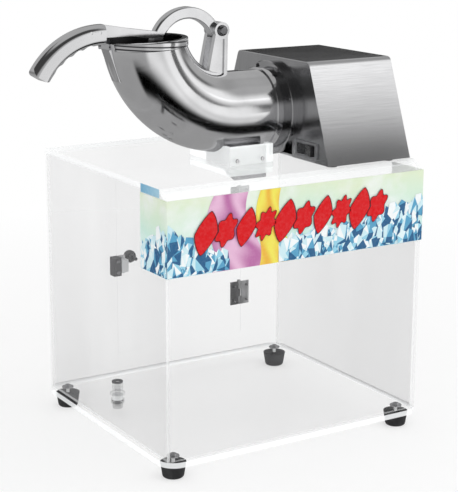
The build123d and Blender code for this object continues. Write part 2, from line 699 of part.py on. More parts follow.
def mouth_ring():
    """Rolled rim that caps the hopper's mouth."""
    place = Pos(MOUTH_X, AXIS_Y, MOUTH_Z) * Rot(0, -MOUTH_TILT, 0)
    ring = place * Pos(0, 0, (RIM_LIP - RIM_H) / 2) * Cylinder(TUBE_R + RIM_T, RIM_H + RIM_LIP)
    ring = fillet(ring.edges().filter_by(GeomType.CIRCLE), RIM_ROUND)
    ring -= place * Cylinder(TUBE_IN, 4 * RIM_H)
    groove = Cylinder(TUBE_R + 2 * RIM_T, RIM_GROOVE)
    groove -= Cylinder(TUBE_R + RIM_T - RIM_GROOVE_DEPTH, RIM_GROOVE)
    ring -= place * Pos(0, 0, -RIM_H / 2) * groove
    notch = block(MOUTH_X - 2 * TUBE_R, MOUTH_X, AXIS_Y - NOTCH_W / 2, AXIS_Y + NOTCH_W / 2,
                  MOUTH_Z - 3 * RIM_H, MOUTH_Z + RIM_H)
    return ring - elbow_solid(TUBE_R, TUBE_END_X) - notch


def rest_bumper():
    """Rubber stop on the pad, under the lever's bar."""
    x0 = MOUTH_X - TUBE_R - PAD_PROUD
    bumper = block(x0, x0 + TUBE_WALL + PAD_PROUD, AXIS_Y - BUMPER_W / 2, AXIS_Y + BUMPER_W / 2,
                   MOUTH_Z - RIM_LIP, BAR_Z - REST_GAP)
    return fillet(bumper.edges().group_by(Axis.Z)[-1], BUMPER_ROUND)


def clamp_x0():
    return TUBE_END_X - CLAMP_W / 2


def radial_place(x, angle):
    """Place on the blade axis whose local Z points outwards at the given angle from +Y."""
    return Pos(x, AXIS_Y, AXIS_Z) * Rot(angle - 90, 0, 0)


def clamp_ring():
    """Ring over the joint between hopper and collar."""
    ring = tube_x(clamp_x0(), clamp_x0() + CLAMP_W, AXIS_Y, AXIS_Z, CLAMP_R, TUBE_R)
    ring = chamfer(ring.edges().filter_by(GeomType.CIRCLE).sort_by(SortBy.RADIUS)[-2:],
                   CLAMP_CHAMFER)
    for angle in CLAMP_ANGLES:
        ring -= radial_place(TUBE_END_X - CLAMP_W / 4, angle) * clamp_hole()
    return ring


def clamp_hole():
    return Pos(0, 0, TUBE_R) * Cylinder(CLAMP_SCREW_D / 2 + RUN_GAP, 4 * TUBE_WALL)


def clamp_screws():
    """Small radial screws through the ring into the hopper's wall."""
    screws = []
    for angle in CLAMP_ANGLES:
        screw = rod_z(TUBE_IN + CLAMP_SCREW_IN, CLAMP_R + CLAMP_HEAD_T, 0, 0, CLAMP_SCREW_D / 2)
        screw += rod_z(CLAMP_R, CLAMP_R + CLAMP_HEAD_T, 0, 0, CLAMP_HEAD_R)
        screws.append(radial_place(TUBE_END_X - CLAMP_W / 4, angle) * screw)
    return screws


def collar_flange():
    """Short neck and flange, which carry the hopper on the motor housing."""
    neck = tube_x(TUBE_END_X + JOINT_GAP, FLANGE_X + 1, AXIS_Y, AXIS_Z, TUBE_R, TUBE_IN)
    flange = rod_x(FLANGE_X, FLANGE_END, AXIS_Y, AXIS_Z, FLANGE_R)
    flange = chamfer(flange.edges().group_by(Axis.X)[0], FLANGE_CHAMFER)
    body = neck + (flange - rod_x(FLANGE_X - 1, FLANGE_END + 1, AXIS_Y, AXIS_Z, TUBE_IN))
    for y, z in flange_bolt_places():
        body -= rod_x(FLANGE_X - 1, FLANGE_END + 1, y, z, FLANGE_BOLT_D / 2 + RUN_GAP)
    return body


def flange_bolt_places():
    return [polar(AXIS_Y, AXIS_Z, FLANGE_BOLT_R, angle) for angle in FLANGE_BOLT_ANGLES]


def flange_bolts():
    bolts = []
    for y, z in flange_bolt_places():
        nut_x = FLANGE_END + SHEET_T
        bolt = hexagon_x(FLANGE_X - FLANGE_HEAD_T, FLANGE_X, y, z, FLANGE_BOLT_D)
        bolt += rod_x(FLANGE_X - 1, nut_x + FLANGE_BOLT_TIP, y, z, FLANGE_BOLT_D / 2)
        bolt += hexagon_x(nut_x, nut_x + FLANGE_HEAD_T, y, z, FLANGE_BOLT_D)
        bolts.append(bolt)
    return bolts


def bearing_carrier():
    x0 = FLANGE_END - CARRIER_T
    plate = rod_x(x0, FLANGE_END, AXIS_Y, AXIS_Z, TUBE_IN - FACE_GAP)
    return plate - rod_x(x0 - 1, FLANGE_END + 1, AXIS_Y, AXIS_Z, BEARING_R)


def shaft_bearing():
    x0 = FLANGE_END - CARRIER_T
    return tube_x(x0, FLANGE_END, AXIS_Y, AXIS_Z, BEARING_R, SHAFT_D / 2 + RUN_GAP)


# ---------------------------------------------------------------- discharge
def spout_front():
    return CHUTE_Y0 + CHUTE_WALL


def chute_screw_places():
    z = Z_TOP + CHUTE_SCREW_UP
    return [(SPOUT_X0 + CHUTE_SCREW_IN, z), (SPOUT_X1 - CHUTE_SCREW_IN, z)]


def discharge_spout():
    """Steel box under the blades, closed round the tube and open below."""
    low = Z_TOP - SPOUT_DROP
    high = Z_TOP + SPOUT_TOP
    front = spout_front()
    profile = [(SPOUT_BACK, low), (SPOUT_BACK, high), (front, high), (front, low - SPOUT_LIP),
               (front + SPOUT_LIP_Y, low)]
    spout = slab_yz(outline(profile), SPOUT_X0, SPOUT_X1)
    spout -= block(SPOUT_X0 + SPOUT_WALL, SPOUT_X1 - SPOUT_WALL, front + SPOUT_WALL,
                   SPOUT_BACK - SPOUT_WALL, low - 2 * SPOUT_LIP, high - SPOUT_WALL)
    lip = low - SPOUT_LIP
    corner = [(SPOUT_X0 - 1, lip - 1), (SPOUT_X0 - 1, lip + SPOUT_CORNER + 1),
              (SPOUT_X0 + SPOUT_CORNER, lip - 1)]
    spout -= slab_xz(outline(corner), front - 1, SPOUT_BACK)
    spout -= elbow_solid(TUBE_R, TUBE_END_X)
    for x, z in chute_screw_places():
        spout -= rod_y(front - 1, front + SPOUT_WALL + 1, x, z, SCREW_D / 2 + RUN_GAP)
    return spout


def clear_chute():
    low = Z_TOP - CHUTE_DOWN
    high = Z_TOP + CHUTE_UP
    chute = block(CHUTE_X0, CHUTE_X1, CHUTE_Y0, CHUTE_Y1, low, high)
    chute -= block(CHUTE_X0 + CHUTE_WALL, CHUTE_X1 - CHUTE_WALL, CHUTE_Y0 + CHUTE_WALL,
                   CHUTE_Y1 - CHUTE_WALL, low - 1, high + 1)
    for x, z in chute_screw_places():
        chute -= rod_y(CHUTE_Y0 - 1, CHUTE_Y0 + CHUTE_WALL + 1, x, z, SCREW_D / 2 + RUN_GAP)
    return chute - elbow_solid(TUBE_R + JOINT_GAP, TUBE_END_X)


def chute_screws():
    tip = spout_front() + SPOUT_WALL
    return [pan_screw_y(x, z, CHUTE_Y0, tip) for x, z in chute_screw_places()]


# ---------------------------------------------------------------- lever bracket
def pivot_bracket():
    """Two ribbed cheeks, which stand on the bend and hold the lever's pin."""
    inner = LEVER_T / 2 + CHEEK_GAP
    foot_z = AXIS_Z + TUBE_R / 2
    left = PIVOT_X - CHEEK_LEFT
    right = PIVOT_X + CHEEK_RIGHT
    body = elbow_solid(TUBE_R, TUBE_END_X)
    cheeks = []
    for side in (-1, 1):
        y_in = AXIS_Y + side * inner
        y_out = y_in + side * CHEEK_T
        web = outline([(left, foot_z), (PIVOT_X - BOSS_R * 0.8, PIVOT_Z),
                       (PIVOT_X + BOSS_R * 0.8, PIVOT_Z), (right, foot_z)])
        cheek = slab_xz(web, min(y_in, y_out), max(y_in, y_out))
        y_pocket = y_out - side * CHEEK_POCKET
        hollow = outline([(left + CHEEK_RIB, foot_z),
                          (PIVOT_X - CHEEK_POCKET_LEFT, PIVOT_Z - BOSS_R),
                          (PIVOT_X + CHEEK_POCKET_RIGHT, PIVOT_Z - BOSS_R),
                          (right - CHEEK_RIB, foot_z)])
        cheek -= slab_xz(hollow, min(y_pocket, y_out + side), max(y_pocket, y_out + side))
        cheek += rod_y(min(y_in, y_out), max(y_in, y_out), PIVOT_X, PIVOT_Z, BOSS_R)
        cheek -= rod_y(AXIS_Y - bracket_half() - 1, AXIS_Y + bracket_half() + 1, PIVOT_X, PIVOT_Z,
                       PIVOT_D / 2 + RUN_GAP)
        cheeks.append(cheek - body)
    return cheeks


def bracket_half():
    return LEVER_T / 2 + CHEEK_GAP + CHEEK_T


def pivot_pin():
    front = AXIS_Y - bracket_half()
    back = AXIS_Y + bracket_half()
    pin = rod_y(front, back + NUT_T, PIVOT_X, PIVOT_Z, PIVOT_D / 2)
    head = rod_y(front - PIVOT_HEAD_T, front, PIVOT_X, PIVOT_Z, PIVOT_HEAD_R)
    head = fillet(head.edges().group_by(Axis.Y)[0], PIVOT_HEAD_ROUND)
    return pin + head


def pivot_nut():
    back = AXIS_Y + bracket_half()
    nut = hexagon_y(back, back + NUT_T, PIVOT_X, PIVOT_Z, NUT_R)
    return nut - rod_y(back - 1, back + NUT_T + 1, PIVOT_X, PIVOT_Z, PIVOT_D / 2 + RUN_GAP)


# ---------------------------------------------------------------- lever
def lever_arm():
    """Arch over the mouth, bar to the grip, and the curved arm that carries the pusher."""
    arch = slab_xz(sector(ARCH_X, ARCH_Z, ARCH_R - ARCH_W / 2, ARCH_R + ARCH_W / 2, ARCH_START,
                          ARCH_END), LEVER_Y0, LEVER_Y1)
    arch = fillet(arch.edges().filter_by(GeomType.CIRCLE), LEVER_ROUND)
    boss = rod_y(LEVER_Y0, LEVER_Y1, PIVOT_X, PIVOT_Z, BOSS_R)
    arm = slab_xz(sector(PIVOT_X, PIVOT_Z, PUSH_R - PUSH_ARM_W / 2, PUSH_R + PUSH_ARM_W / 2,
                         PUSH_ARM_START, PUSH_ANGLE - foot_step()), LEVER_Y0, LEVER_Y1)
    arm = fillet(arm.edges().filter_by(GeomType.CIRCLE), LEVER_ROUND)
    arch_left = ARCH_X - ARCH_R
    middle = (ROOT_X + arch_left) / 2
    bar = outline([(ROOT_X, BAR_Z), (ROOT_X, BAR_Z + BAR_H_ROOT), (middle, BAR_Z + BAR_H_MID),
                   (arch_left, BAR_Z + BAR_H_ARCH), (arch_left, BAR_Z - BAR_SAG), (middle, BAR_Z)])
    bar = slab_xz(bar, LEVER_Y0, LEVER_Y1)
    low = tang_z() - TANG_H / 2
    tang = block(ROOT_X - TANG_L, ROOT_X + 1, AXIS_Y - TANG_T / 2, AXIS_Y + TANG_T / 2,
                 low, low + TANG_H)
    lever = arch + arm + bar + boss + tang + pusher_frame() * push_foot()
    for x, z in grip_pin_places():
        lever -= rod_y(LEVER_Y0 - 1, LEVER_Y1 + 1, x, z, GRIP_PIN_D / 2 + RUN_GAP)
    for place in push_screw_places():
        lever -= pusher_frame() * place * pusher_hole()
    return lever - rod_y(LEVER_Y0 - 1, LEVER_Y1 + 1, PIVOT_X, PIVOT_Z, PIVOT_D / 2 + RUN_GAP)


def tang_z():
    return BAR_Z + BAR_H_ROOT / 2 - TANG_DROP


def pusher_frame():
    """Place of the pusher: its local Z points back along the arm."""
    return Pos(PIVOT_X, AXIS_Y, PIVOT_Z) * Rot(0, 180 - PUSH_ANGLE, 0) * Pos(-PUSH_R, 0, 0)


def foot_step():
    """Angle that the pusher's foot takes up on the arm."""
    return math.degrees(PUSH_FOOT_T / PUSH_R) / 2


def push_foot():
    return Pos(0, 0, PUSH_FOOT_T / 2) * Cylinder(PUSH_FOOT_R, PUSH_FOOT_T)


def push_screw_places():
    return [Rot(0, 0, angle) * Pos(PUSH_SCREW_R, 0, 0) for angle in PUSH_SCREW_ANGLES]


def pusher_hole():
    return Cylinder(SCREW_D / 2 + RUN_GAP, 4 * (PUSH_FOOT_T + PUSH_T))


def pusher_plate():
    plate = Pos(0, 0, -PUSH_T) * extrude(Ellipse(PUSH_RADIAL / 2, PUSH_LATERAL / 2), amount=PUSH_T)
    plate = fillet(plate.edges().group_by(Axis.Z)[0], PUSH_ROUND)
    for place in push_screw_places():
        plate -= place * pusher_hole()
    return pusher_frame() * plate


def pusher_screws():
    head = PUSH_FOOT_T
    screw = Pos(0, 0, head + SCREW_HEAD_T / 2) * Cylinder(SCREW_HEAD_D / 2, SCREW_HEAD_T)
    screw += Pos(0, 0, (head - PUSH_T + 1) / 2) * Cylinder(SCREW_D / 2, head + PUSH_T - 1)
    return [pusher_frame() * place * screw for place in push_screw_places()]


def grip_centre():
    """Centre of the grip's arc, set so that its highest point is over its root."""
    x = ROOT_X - GRIP_R * math.cos(math.radians(GRIP_START + GRIP_CREST_ANGLE))
    return x, MOUTH_Z + GRIP_CREST - GRIP_R


def grip_pin_places():
    return [(ROOT_X - TANG_L * spot, tang_z()) for spot in GRIP_PIN_SPOTS]


def handle_grip():
    """Curved grip with finger grooves below and a pocket for the lever's tang."""
    cx, cz = grip_centre()
    inner = GRIP_R - GRIP_H
    profile = sector(cx, cz, inner, GRIP_R, GRIP_START, GRIP_START + GRIP_SWEEP)
    grip = slab_xz(profile, AXIS_Y - GRIP_W / 2, AXIS_Y + GRIP_W / 2)
    tip = grip.faces().sort_by(Axis.X)[0]
    grip = fillet(grip.edges().filter_by(GeomType.CIRCLE) + tip.edges().filter_by(Axis.Y), GRIP_ROUND)
    for i in range(SCALLOPS):
        angle = GRIP_START + SCALLOP_FIRST + i * SCALLOP_STEP
        x, z = polar(cx, cz, inner + SCALLOP_DEPTH - SCALLOP_R, angle)
        grip -= rod_y(AXIS_Y - GRIP_W, AXIS_Y + GRIP_W, x, z, SCALLOP_R)
    grip -= slab_xz(sector(cx, cz, inner - SCALLOP_R, inner + GRIP_NECK_CUT,
                           GRIP_START - GRIP_NECK, GRIP_START + GRIP_NECK),
                    AXIS_Y - GRIP_W, AXIS_Y + GRIP_W)
    grip -= block(ROOT_X - TANG_L - 1, ROOT_X + TANG_L, AXIS_Y - TANG_T / 2 - TANG_FIT,
                  AXIS_Y + TANG_T / 2 + TANG_FIT, tang_z() - TANG_H / 2 - TANG_FIT,
                  tang_z() + TANG_H / 2 + TANG_FIT)
    grip -= block(ROOT_X, ROOT_X + TANG_L, AXIS_Y - GRIP_W, AXIS_Y + GRIP_W, cz, cz + 2 * GRIP_R)
    for x, z in grip_pin_places():
        grip -= rod_y(AXIS_Y - GRIP_W, AXIS_Y + GRIP_W, x, z, GRIP_PIN_D / 2 + RUN_GAP)
    return grip


def grip_pins():
    half = GRIP_W / 2 - GRIP_PIN_SUNK
    return [rod_y(AXIS_Y - half, AXIS_Y + half, x, z, GRIP_PIN_D / 2) for x, z in grip_pin_places()]


# ---------------------------------------------------------------- spindle and motor
def motor_end():
    return MOTOR_X + 2 * BELL_T + MOTOR_L


def drive_shaft():
    """Shaft from the blade disc to the motor's far bearing, with a shoulder behind the disc."""
    shaft = rod_x(DISC_X - SPIN_NUT_T - SHAFT_PAST, motor_end() - BELL_T / 2, AXIS_Y, AXIS_Z,
                  SHAFT_D / 2)
    shoulder_x = DISC_X + DISC_T
    return shaft + rod_x(shoulder_x, shoulder_x + SHOULDER_L, AXIS_Y, AXIS_Z, SHAFT_D)


def blade_frame(index):
    return Pos(DISC_X, AXIS_Y, AXIS_Z) * Rot(360 / BLADES * index, 0, 0)


def blade_screw_places():
    return [(dy, BLADE_W / 2 - BLADE_SCREW_EDGE) for dy in (BLADE_R - BLADE_L / 4, BLADE_R + BLADE_L / 4)]


def blade_disc():
    disc = rod_x(DISC_X, DISC_X + DISC_T, AXIS_Y, AXIS_Z, DISC_R)
    disc -= rod_x(DISC_X - 1, DISC_X + DISC_T + 1, AXIS_Y, AXIS_Z, SHAFT_D / 2 + RUN_GAP)
    for i in range(BLADES):
        slot = block(-1, DISC_T + 1, BLADE_R - BLADE_L / 2, BLADE_R + BLADE_L / 2,
                     -SLOT_W, 0)
        disc -= blade_frame(i) * slot
        for y, z in blade_screw_places():
            disc -= blade_frame(i) * rod_x(-1, DISC_T + 1, y, z, BLADE_SCREW_D / 2 + RUN_GAP)
    return disc


def blades():
    """Flat knives on the disc's face, each with its edge over a slot."""
    pieces = []
    for i in range(BLADES):
        y0 = BLADE_R - BLADE_L / 2
        knife = block(-BLADE_T, 0, y0, y0 + BLADE_L, 0, BLADE_W)
        for y, z in blade_screw_places():
            knife -= rod_x(-BLADE_T - 1, 1, y, z, BLADE_SCREW_D / 2 + RUN_GAP)
        pieces.append(blade_frame(i) * knife)
    return pieces


def blade_screws():
    screws = []
    for i in range(BLADES):
        for y, z in blade_screw_places():
            screw = rod_x(-BLADE_T, DISC_T, y, z, BLADE_SCREW_D / 2)
            screw += rod_x(-BLADE_T - BLADE_HEAD_T, -BLADE_T, y, z, BLADE_HEAD_R)
            screws.append(blade_frame(i) * screw)
    return screws


def spindle_nut():
    nut = hexagon_x(DISC_X - SPIN_NUT_T, DISC_X, AXIS_Y, AXIS_Z, SPIN_NUT_R)
    return nut - rod_x(DISC_X - SPIN_NUT_T - 1, DISC_X + 1, AXIS_Y, AXIS_Z, SHAFT_D / 2 + RUN_GAP)


def motor_rotor():
    middle = MOTOR_X + BELL_T + MOTOR_L / 2
    return tube_x(middle - ROTOR_L / 2, middle + ROTOR_L / 2, AXIS_Y, AXIS_Z, ROTOR_R,
                  SHAFT_D / 2 + RUN_GAP)


def motor_body():
    x0 = MOTOR_X + BELL_T
    return tube_x(x0, x0 + MOTOR_L, AXIS_Y, AXIS_Z, MOTOR_R, MOTOR_R - MOTOR_WALL)


def motor_end_bells():
    bells = []
    for x0, x1 in ((MOTOR_X, MOTOR_X + BELL_T), (motor_end() - BELL_T, motor_end())):
        bell = rod_x(x0, x1, AXIS_Y, AXIS_Z, MOTOR_R)
        bell -= rod_x(x0 - 1, x1 + 1, AXIS_Y, AXIS_Z, SHAFT_D / 2 + RUN_GAP)
        bells.append(bell)
    for y, z in mount_bolt_places():
        bells[0] -= rod_x(MOTOR_X - 1, MOTOR_X + BELL_T + 1, y, z, MOUNT_BOLT_D / 2 + RUN_GAP)
    return bells


def mount_bolt_places():
    return [polar(AXIS_Y, AXIS_Z, MOUNT_BOLT_R, angle) for angle in MOUNT_BOLT_ANGLES]


def motor_mount():
    """Upright plate that carries the motor by its face, with a foot on the base frame."""
    x0 = MOTOR_X - MOUNT_T
    low = HOUSE_Z0 + FRAME_T
    plate = block(x0, MOTOR_X, AXIS_Y - MOUNT_W / 2, AXIS_Y + MOUNT_W / 2, low, AXIS_Z + MOTOR_R)
    plate += block(x0 - MOUNT_FOOT, MOTOR_X, AXIS_Y - MOUNT_W / 2, AXIS_Y + MOUNT_W / 2, low,
                   low + MOUNT_T)
    plate -= rod_x(x0 - 1, MOTOR_X + 1, AXIS_Y, AXIS_Z, MOUNT_HOLE_R)
    for y, z in mount_bolt_places():
        plate -= rod_x(x0 - 1, MOTOR_X + 1, y, z, MOUNT_BOLT_D / 2 + RUN_GAP)
    return plate


def motor_bolts():
    x0 = MOTOR_X - MOUNT_T
    bolts = []
    for y, z in mount_bolt_places():
        bolt = hexagon_x(x0 - MOTOR_HEAD_T, x0, y, z, MOUNT_BOLT_D)
        tip = MOTOR_X + BELL_T - MOTOR_BOLT_SHORT
        bolts.append(bolt + rod_x(x0 - 1, tip, y, z, MOUNT_BOLT_D / 2))
    return bolts


# ---------------------------------------------------------------- motor housing
def house_outline(inset, low):
    """Housing section seen along X: narrow at the top, wide at the bottom."""
    side = inset * math.hypot(1, HOUSE_SLOPE)
    top = HOUSE_Z1 - inset
    half_top = HOUSE_TOP_D / 2 + HOUSE_SLOPE * inset - side
    half_low = HOUSE_LOW_D / 2 - HOUSE_SLOPE * (low - HOUSE_Z0) - side
    shape = outline([(AXIS_Y - half_low, low), (AXIS_Y - half_top, top), (AXIS_Y + half_top, top),
                     (AXIS_Y + half_low, low)])
    corners = shape.vertices().group_by(Axis.Y)[-1]
    return fillet(corners, HOUSE_ROUND - inset)


def housing_cover():
    """Bent sheet: front slope, top and back slope in one."""
    outer = slab_yz(house_outline(0, HOUSE_Z0), HOUSE_X0, HOUSE_X1)
    cover = outer - slab_yz(house_outline(SHEET_T, HOUSE_Z0 - 5), HOUSE_X0 - 1, HOUSE_X1 + 1)
    for x, y, z in cover_screw_places():
        cover -= rod_y(y - LUG_BACK, y + LUG_BACK, x, z, SCREW_D / 2 + RUN_GAP)
    return cover


def end_plate(x0):
    return slab_yz(house_outline(SHEET_T + SHEET_FIT, HOUSE_Z0), x0, x0 + SHEET_T)


def left_end_plate():
    """Sheet with an arched cut-out for the collar, and a window for the switch."""
    plate = end_plate(HOUSE_X0)
    x1 = HOUSE_X0 + 2 * SHEET_T
    plate -= rod_x(HOUSE_X0 - 1, x1, AXIS_Y, AXIS_Z, CUT_HALF)
    plate -= block(HOUSE_X0 - 1, x1, AXIS_Y - CUT_HALF, AXIS_Y + CUT_HALF, HOUSE_Z0 - 1, AXIS_Z)
    for y, z in flange_bolt_places():
        plate -= rod_x(HOUSE_X0 - 1, x1, y, z, FLANGE_BOLT_D / 2 + RUN_GAP)
    return plate - switch_window(HOUSE_X0 - 1, x1, WINDOW_MARGIN)


def vent_places():
    first = -(VENTS - 1) / 2
    return [AXIS_Y + (first + i) * VENT_STEP for i in range(VENTS)]


def right_end_plate():
    x0 = HOUSE_X1 - SHEET_T
    plate = end_plate(x0)
    for y in vent_places():
        vent = Pos(y, AXIS_Z) * SlotOverall(VENT_L, VENT_W, rotation=90)
        plate -= slab_yz(vent, x0 - 1, HOUSE_X1 + 1)
    return plate - rod_x(x0 - 1, HOUSE_X1 + 1, GLAND_Y, HOUSE_Z0 + GLAND_Z,
                         GLAND_D / 2 - GLAND_STEP + RUN_GAP)


def cover_screw_places():
    """Screws low on the back slope, into the base frame's upturned lugs."""
    z = HOUSE_Z0 + COVER_SCREW_UP
    y = AXIS_Y + HOUSE_LOW_D / 2 - HOUSE_SLOPE * COVER_SCREW_UP
    return [(HOUSE_X0 + COVER_SCREW_IN, y, z), (HOUSE_X1 - COVER_SCREW_IN, y, z)]


def cover_screws():
    screws = []
    for x, y, z in cover_screw_places():
        screws.append(pan_screw_y(x, z, y + COVER_SCREW_SEAT, y - LUG_BACK))
    return screws


def base_frame():
    """Flat steel frame under the motor housing, open in the middle, with two lugs at the back."""
    gap = SHEET_T + SHEET_FIT
    x0 = HOUSE_X0 + gap
    x1 = HOUSE_X1 - gap
    half = HOUSE_LOW_D / 2 - HOUSE_SLOPE * FRAME_T - FRAME_FIT
    frame = block(x0, x1, AXIS_Y - half, AXIS_Y + half, HOUSE_Z0, HOUSE_Z0 + FRAME_T)
    frame -= block(x0 + FRAME_RAIL, x1 - FRAME_RAIL / 2, AXIS_Y - half + FRAME_RAIL,
                   AXIS_Y + half - FRAME_RAIL, HOUSE_Z0 - 1, HOUSE_Z0 + FRAME_T + 1)
    for x, y, z in cover_screw_places():
        y0 = y - LUG_BACK
        lug = block(x - LUG_W / 2, x + LUG_W / 2, y0, y0 + FRAME_T, HOUSE_Z0, z + LUG_TOP)
        frame += lug - rod_y(y0 - 1, y, x, z, SCREW_D / 2 + RUN_GAP)
    return frame


def machine_feet():
    half = HOUSE_LOW_D / 2 - PAD_FOOT_EDGE
    feet = []
    for x in (HOUSE_X0 + PAD_FOOT_EDGE, HOUSE_X1 - PAD_FOOT_RIGHT):
        for y in (AXIS_Y - half, AXIS_Y + half):
            feet.append(rod_z(Z_TOP, Z_TOP + PAD_FOOT_H, x, y, PAD_FOOT_D / 2))
    return feet


def switch_window(x0, x1, margin):
    z = HOUSE_Z0 + SWITCH_Z
    half_l = ROCKER_L / 2 + margin
    half_w = ROCKER_W / 2 + margin
    return block(x0, x1, SWITCH_Y - half_l, SWITCH_Y + half_l, z - half_w, z + half_w)


def switch_bezel():
    """Frame on the end plate with the switch's case behind it."""
    z = HOUSE_Z0 + SWITCH_Z
    frame = block(HOUSE_X0 - SWITCH_T, HOUSE_X0, SWITCH_Y - SWITCH_L / 2, SWITCH_Y + SWITCH_L / 2,
                  z - SWITCH_W / 2, z + SWITCH_W / 2)
    frame = fillet(frame.edges().filter_by(Axis.X), SWITCH_ROUND)
    box_end = HOUSE_X0 + SWITCH_BOX_D
    case = switch_window(HOUSE_X0 - 1, box_end, WINDOW_MARGIN - SHEET_FIT)
    inside = switch_window(HOUSE_X0 - 2 * SWITCH_T, box_end - SWITCH_BOX_WALL, ROCKER_FIT)
    return frame + case - inside


def rocker_switch():
    """Rocker with two flats that meet over its pivot; at rest its near end stands out."""
    z = HOUSE_Z0 + SWITCH_Z
    half = ROCKER_L / 2 - ROCKER_END
    drop = half * math.tan(math.radians(ROCKER_ANGLE))
    back = ROCKER_DEPTH - drop
    shape = outline([(-ROCKER_PROUD - drop, -half), (-ROCKER_PROUD, 0),
                     (-ROCKER_PROUD - drop, half), (back, half - ROCKER_TAPER),
                     (ROCKER_DEPTH, 0), (back, -half + ROCKER_TAPER)])
    rocker = extrude(shape, amount=ROCKER_W)
    face = HOUSE_X0 - SWITCH_T
    return Pos(face + drop, SWITCH_Y, z - ROCKER_W / 2) * Rot(0, 0, -ROCKER_ANGLE) * rocker


def cord_gland():
    z = HOUSE_Z0 + GLAND_Z
    body = rod_x(HOUSE_X1, HOUSE_X1 + GLAND_L, GLAND_Y, z, GLAND_D / 2)
    body = fillet(body.edges().group_by(Axis.X)[-1], GLAND_ROUND)
    tail_x = HOUSE_X1 - GLAND_TAIL
    body += rod_x(tail_x, HOUSE_X1, GLAND_Y, z, GLAND_D / 2 - GLAND_STEP)
    return body - rod_x(tail_x - 1, HOUSE_X1 + GLAND_L + 1, GLAND_Y, z, GLAND_BORE / 2)


# ---------------------------------------------------------------- assembly
def all_parts():
    return {
        "base_plate": base_plate(),
        "front_panel": front_panel(),
        "left_panel": side_panel(-1),
        "right_panel": side_panel(1),
        "back_panel": back_panel(),
        "top_plate": top_plate(),
        "sign_panel": sign_panel(),
        "rubber_feet": rubber_feet(),
        "foot_fasteners": foot_washers() + foot_screws(),
        "drain_fitting": drain_fitting(),
        "drain_nut": drain_nut(),
        "hinge_fixed_leaves": hinge_leaves(1),
        "hinge_pins": hinge_pins(),
        "magnetic_catch": magnetic_catch(),
        "panel_screws": hinge_screws(1) + catch_screws(),
        "back_door": back_door(),
        "hinge_door_leaves": hinge_leaves(-1),
        "door_screws": hinge_screws(-1),
        "strike_plate": strike_plate(),
        "door_knob": door_knob(),
        "elbow_hopper": elbow_hopper(),
        "hopper_tube": hopper_tube(),
        "mouth_ring": mouth_ring(),
        "rest_bumper": rest_bumper(),
        "clamp_ring": clamp_ring(),
        "clamp_screws": clamp_screws(),
        "collar_flange": collar_flange(),
        "flange_bolts": flange_bolts(),
        "bearing_carrier": bearing_carrier(),
        "shaft_bearing": shaft_bearing(),
        "discharge_spout": discharge_spout(),
        "clear_chute": clear_chute(),
        "chute_screws": chute_screws(),
        "pivot_bracket": pivot_bracket(),
        "pivot_pin": pivot_pin(),
        "pivot_nut": pivot_nut(),
        "lever_arm": lever_arm(),
        "pusher_plate": pusher_plate(),
        "pusher_screws": pusher_screws(),
        "handle_grip": handle_grip(),
        "grip_pins": grip_pins(),
        "drive_shaft": drive_shaft(),
        "blade_disc": blade_disc(),
        "blades": blades(),
        "blade_screws": blade_screws(),
        "spindle_nut": spindle_nut(),
        "motor_rotor": motor_rotor(),
        "motor_body": motor_body(),
        "motor_end_bells": motor_end_bells(),
        "motor_mount": motor_mount(),
        "motor_bolts": motor_bolts(),
        "housing_cover": housing_cover(),
        "left_end_plate": left_end_plate(),
        "right_end_plate": right_end_plate(),
        "cover_screws": cover_screws(),
        "base_frame": base_frame(),
        "machine_feet": machine_feet(),
        "switch_bezel": switch_bezel(),
        "rocker_switch": rocker_switch(),
        "cord_gland": cord_gland(),
    }


def as_shape(piece):
    """One shape for a node, whether it is one solid or a list of them."""
    if isinstance(piece, (list, tuple)):
        return Compound(children=[solid for item in piece for solid in item.solids()])
    return piece


parts = {name: as_shape(piece) for name, piece in all_parts().items()}
whole = Compound(children=[shape.moved(Location((0, 0, 0))) for shape in parts.values()])
box = whole.bounding_box()
shift = Location((-(box.min.X + box.max.X) / 2, -(box.min.Y + box.max.Y) / 2, 0))

os.makedirs("parts", exist_ok=True)
for name, shape in parts.items():
    export_step(shape.moved(shift), f"parts/{name}.step")
print("moved by", shift.position)
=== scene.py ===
"""Lever-fed ice shaver on a clear cabinet: finishes, printed band, studio and camera.

Everything is in metres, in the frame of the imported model: X to the right along the front,
Y to the back, Z up from the table.
"""

from __future__ import annotations

import json
import logging
import math
from dataclasses import dataclass, field
from enum import Enum
from typing import Any

import bpy
import numpy as np
from mathutils import Matrix, Vector

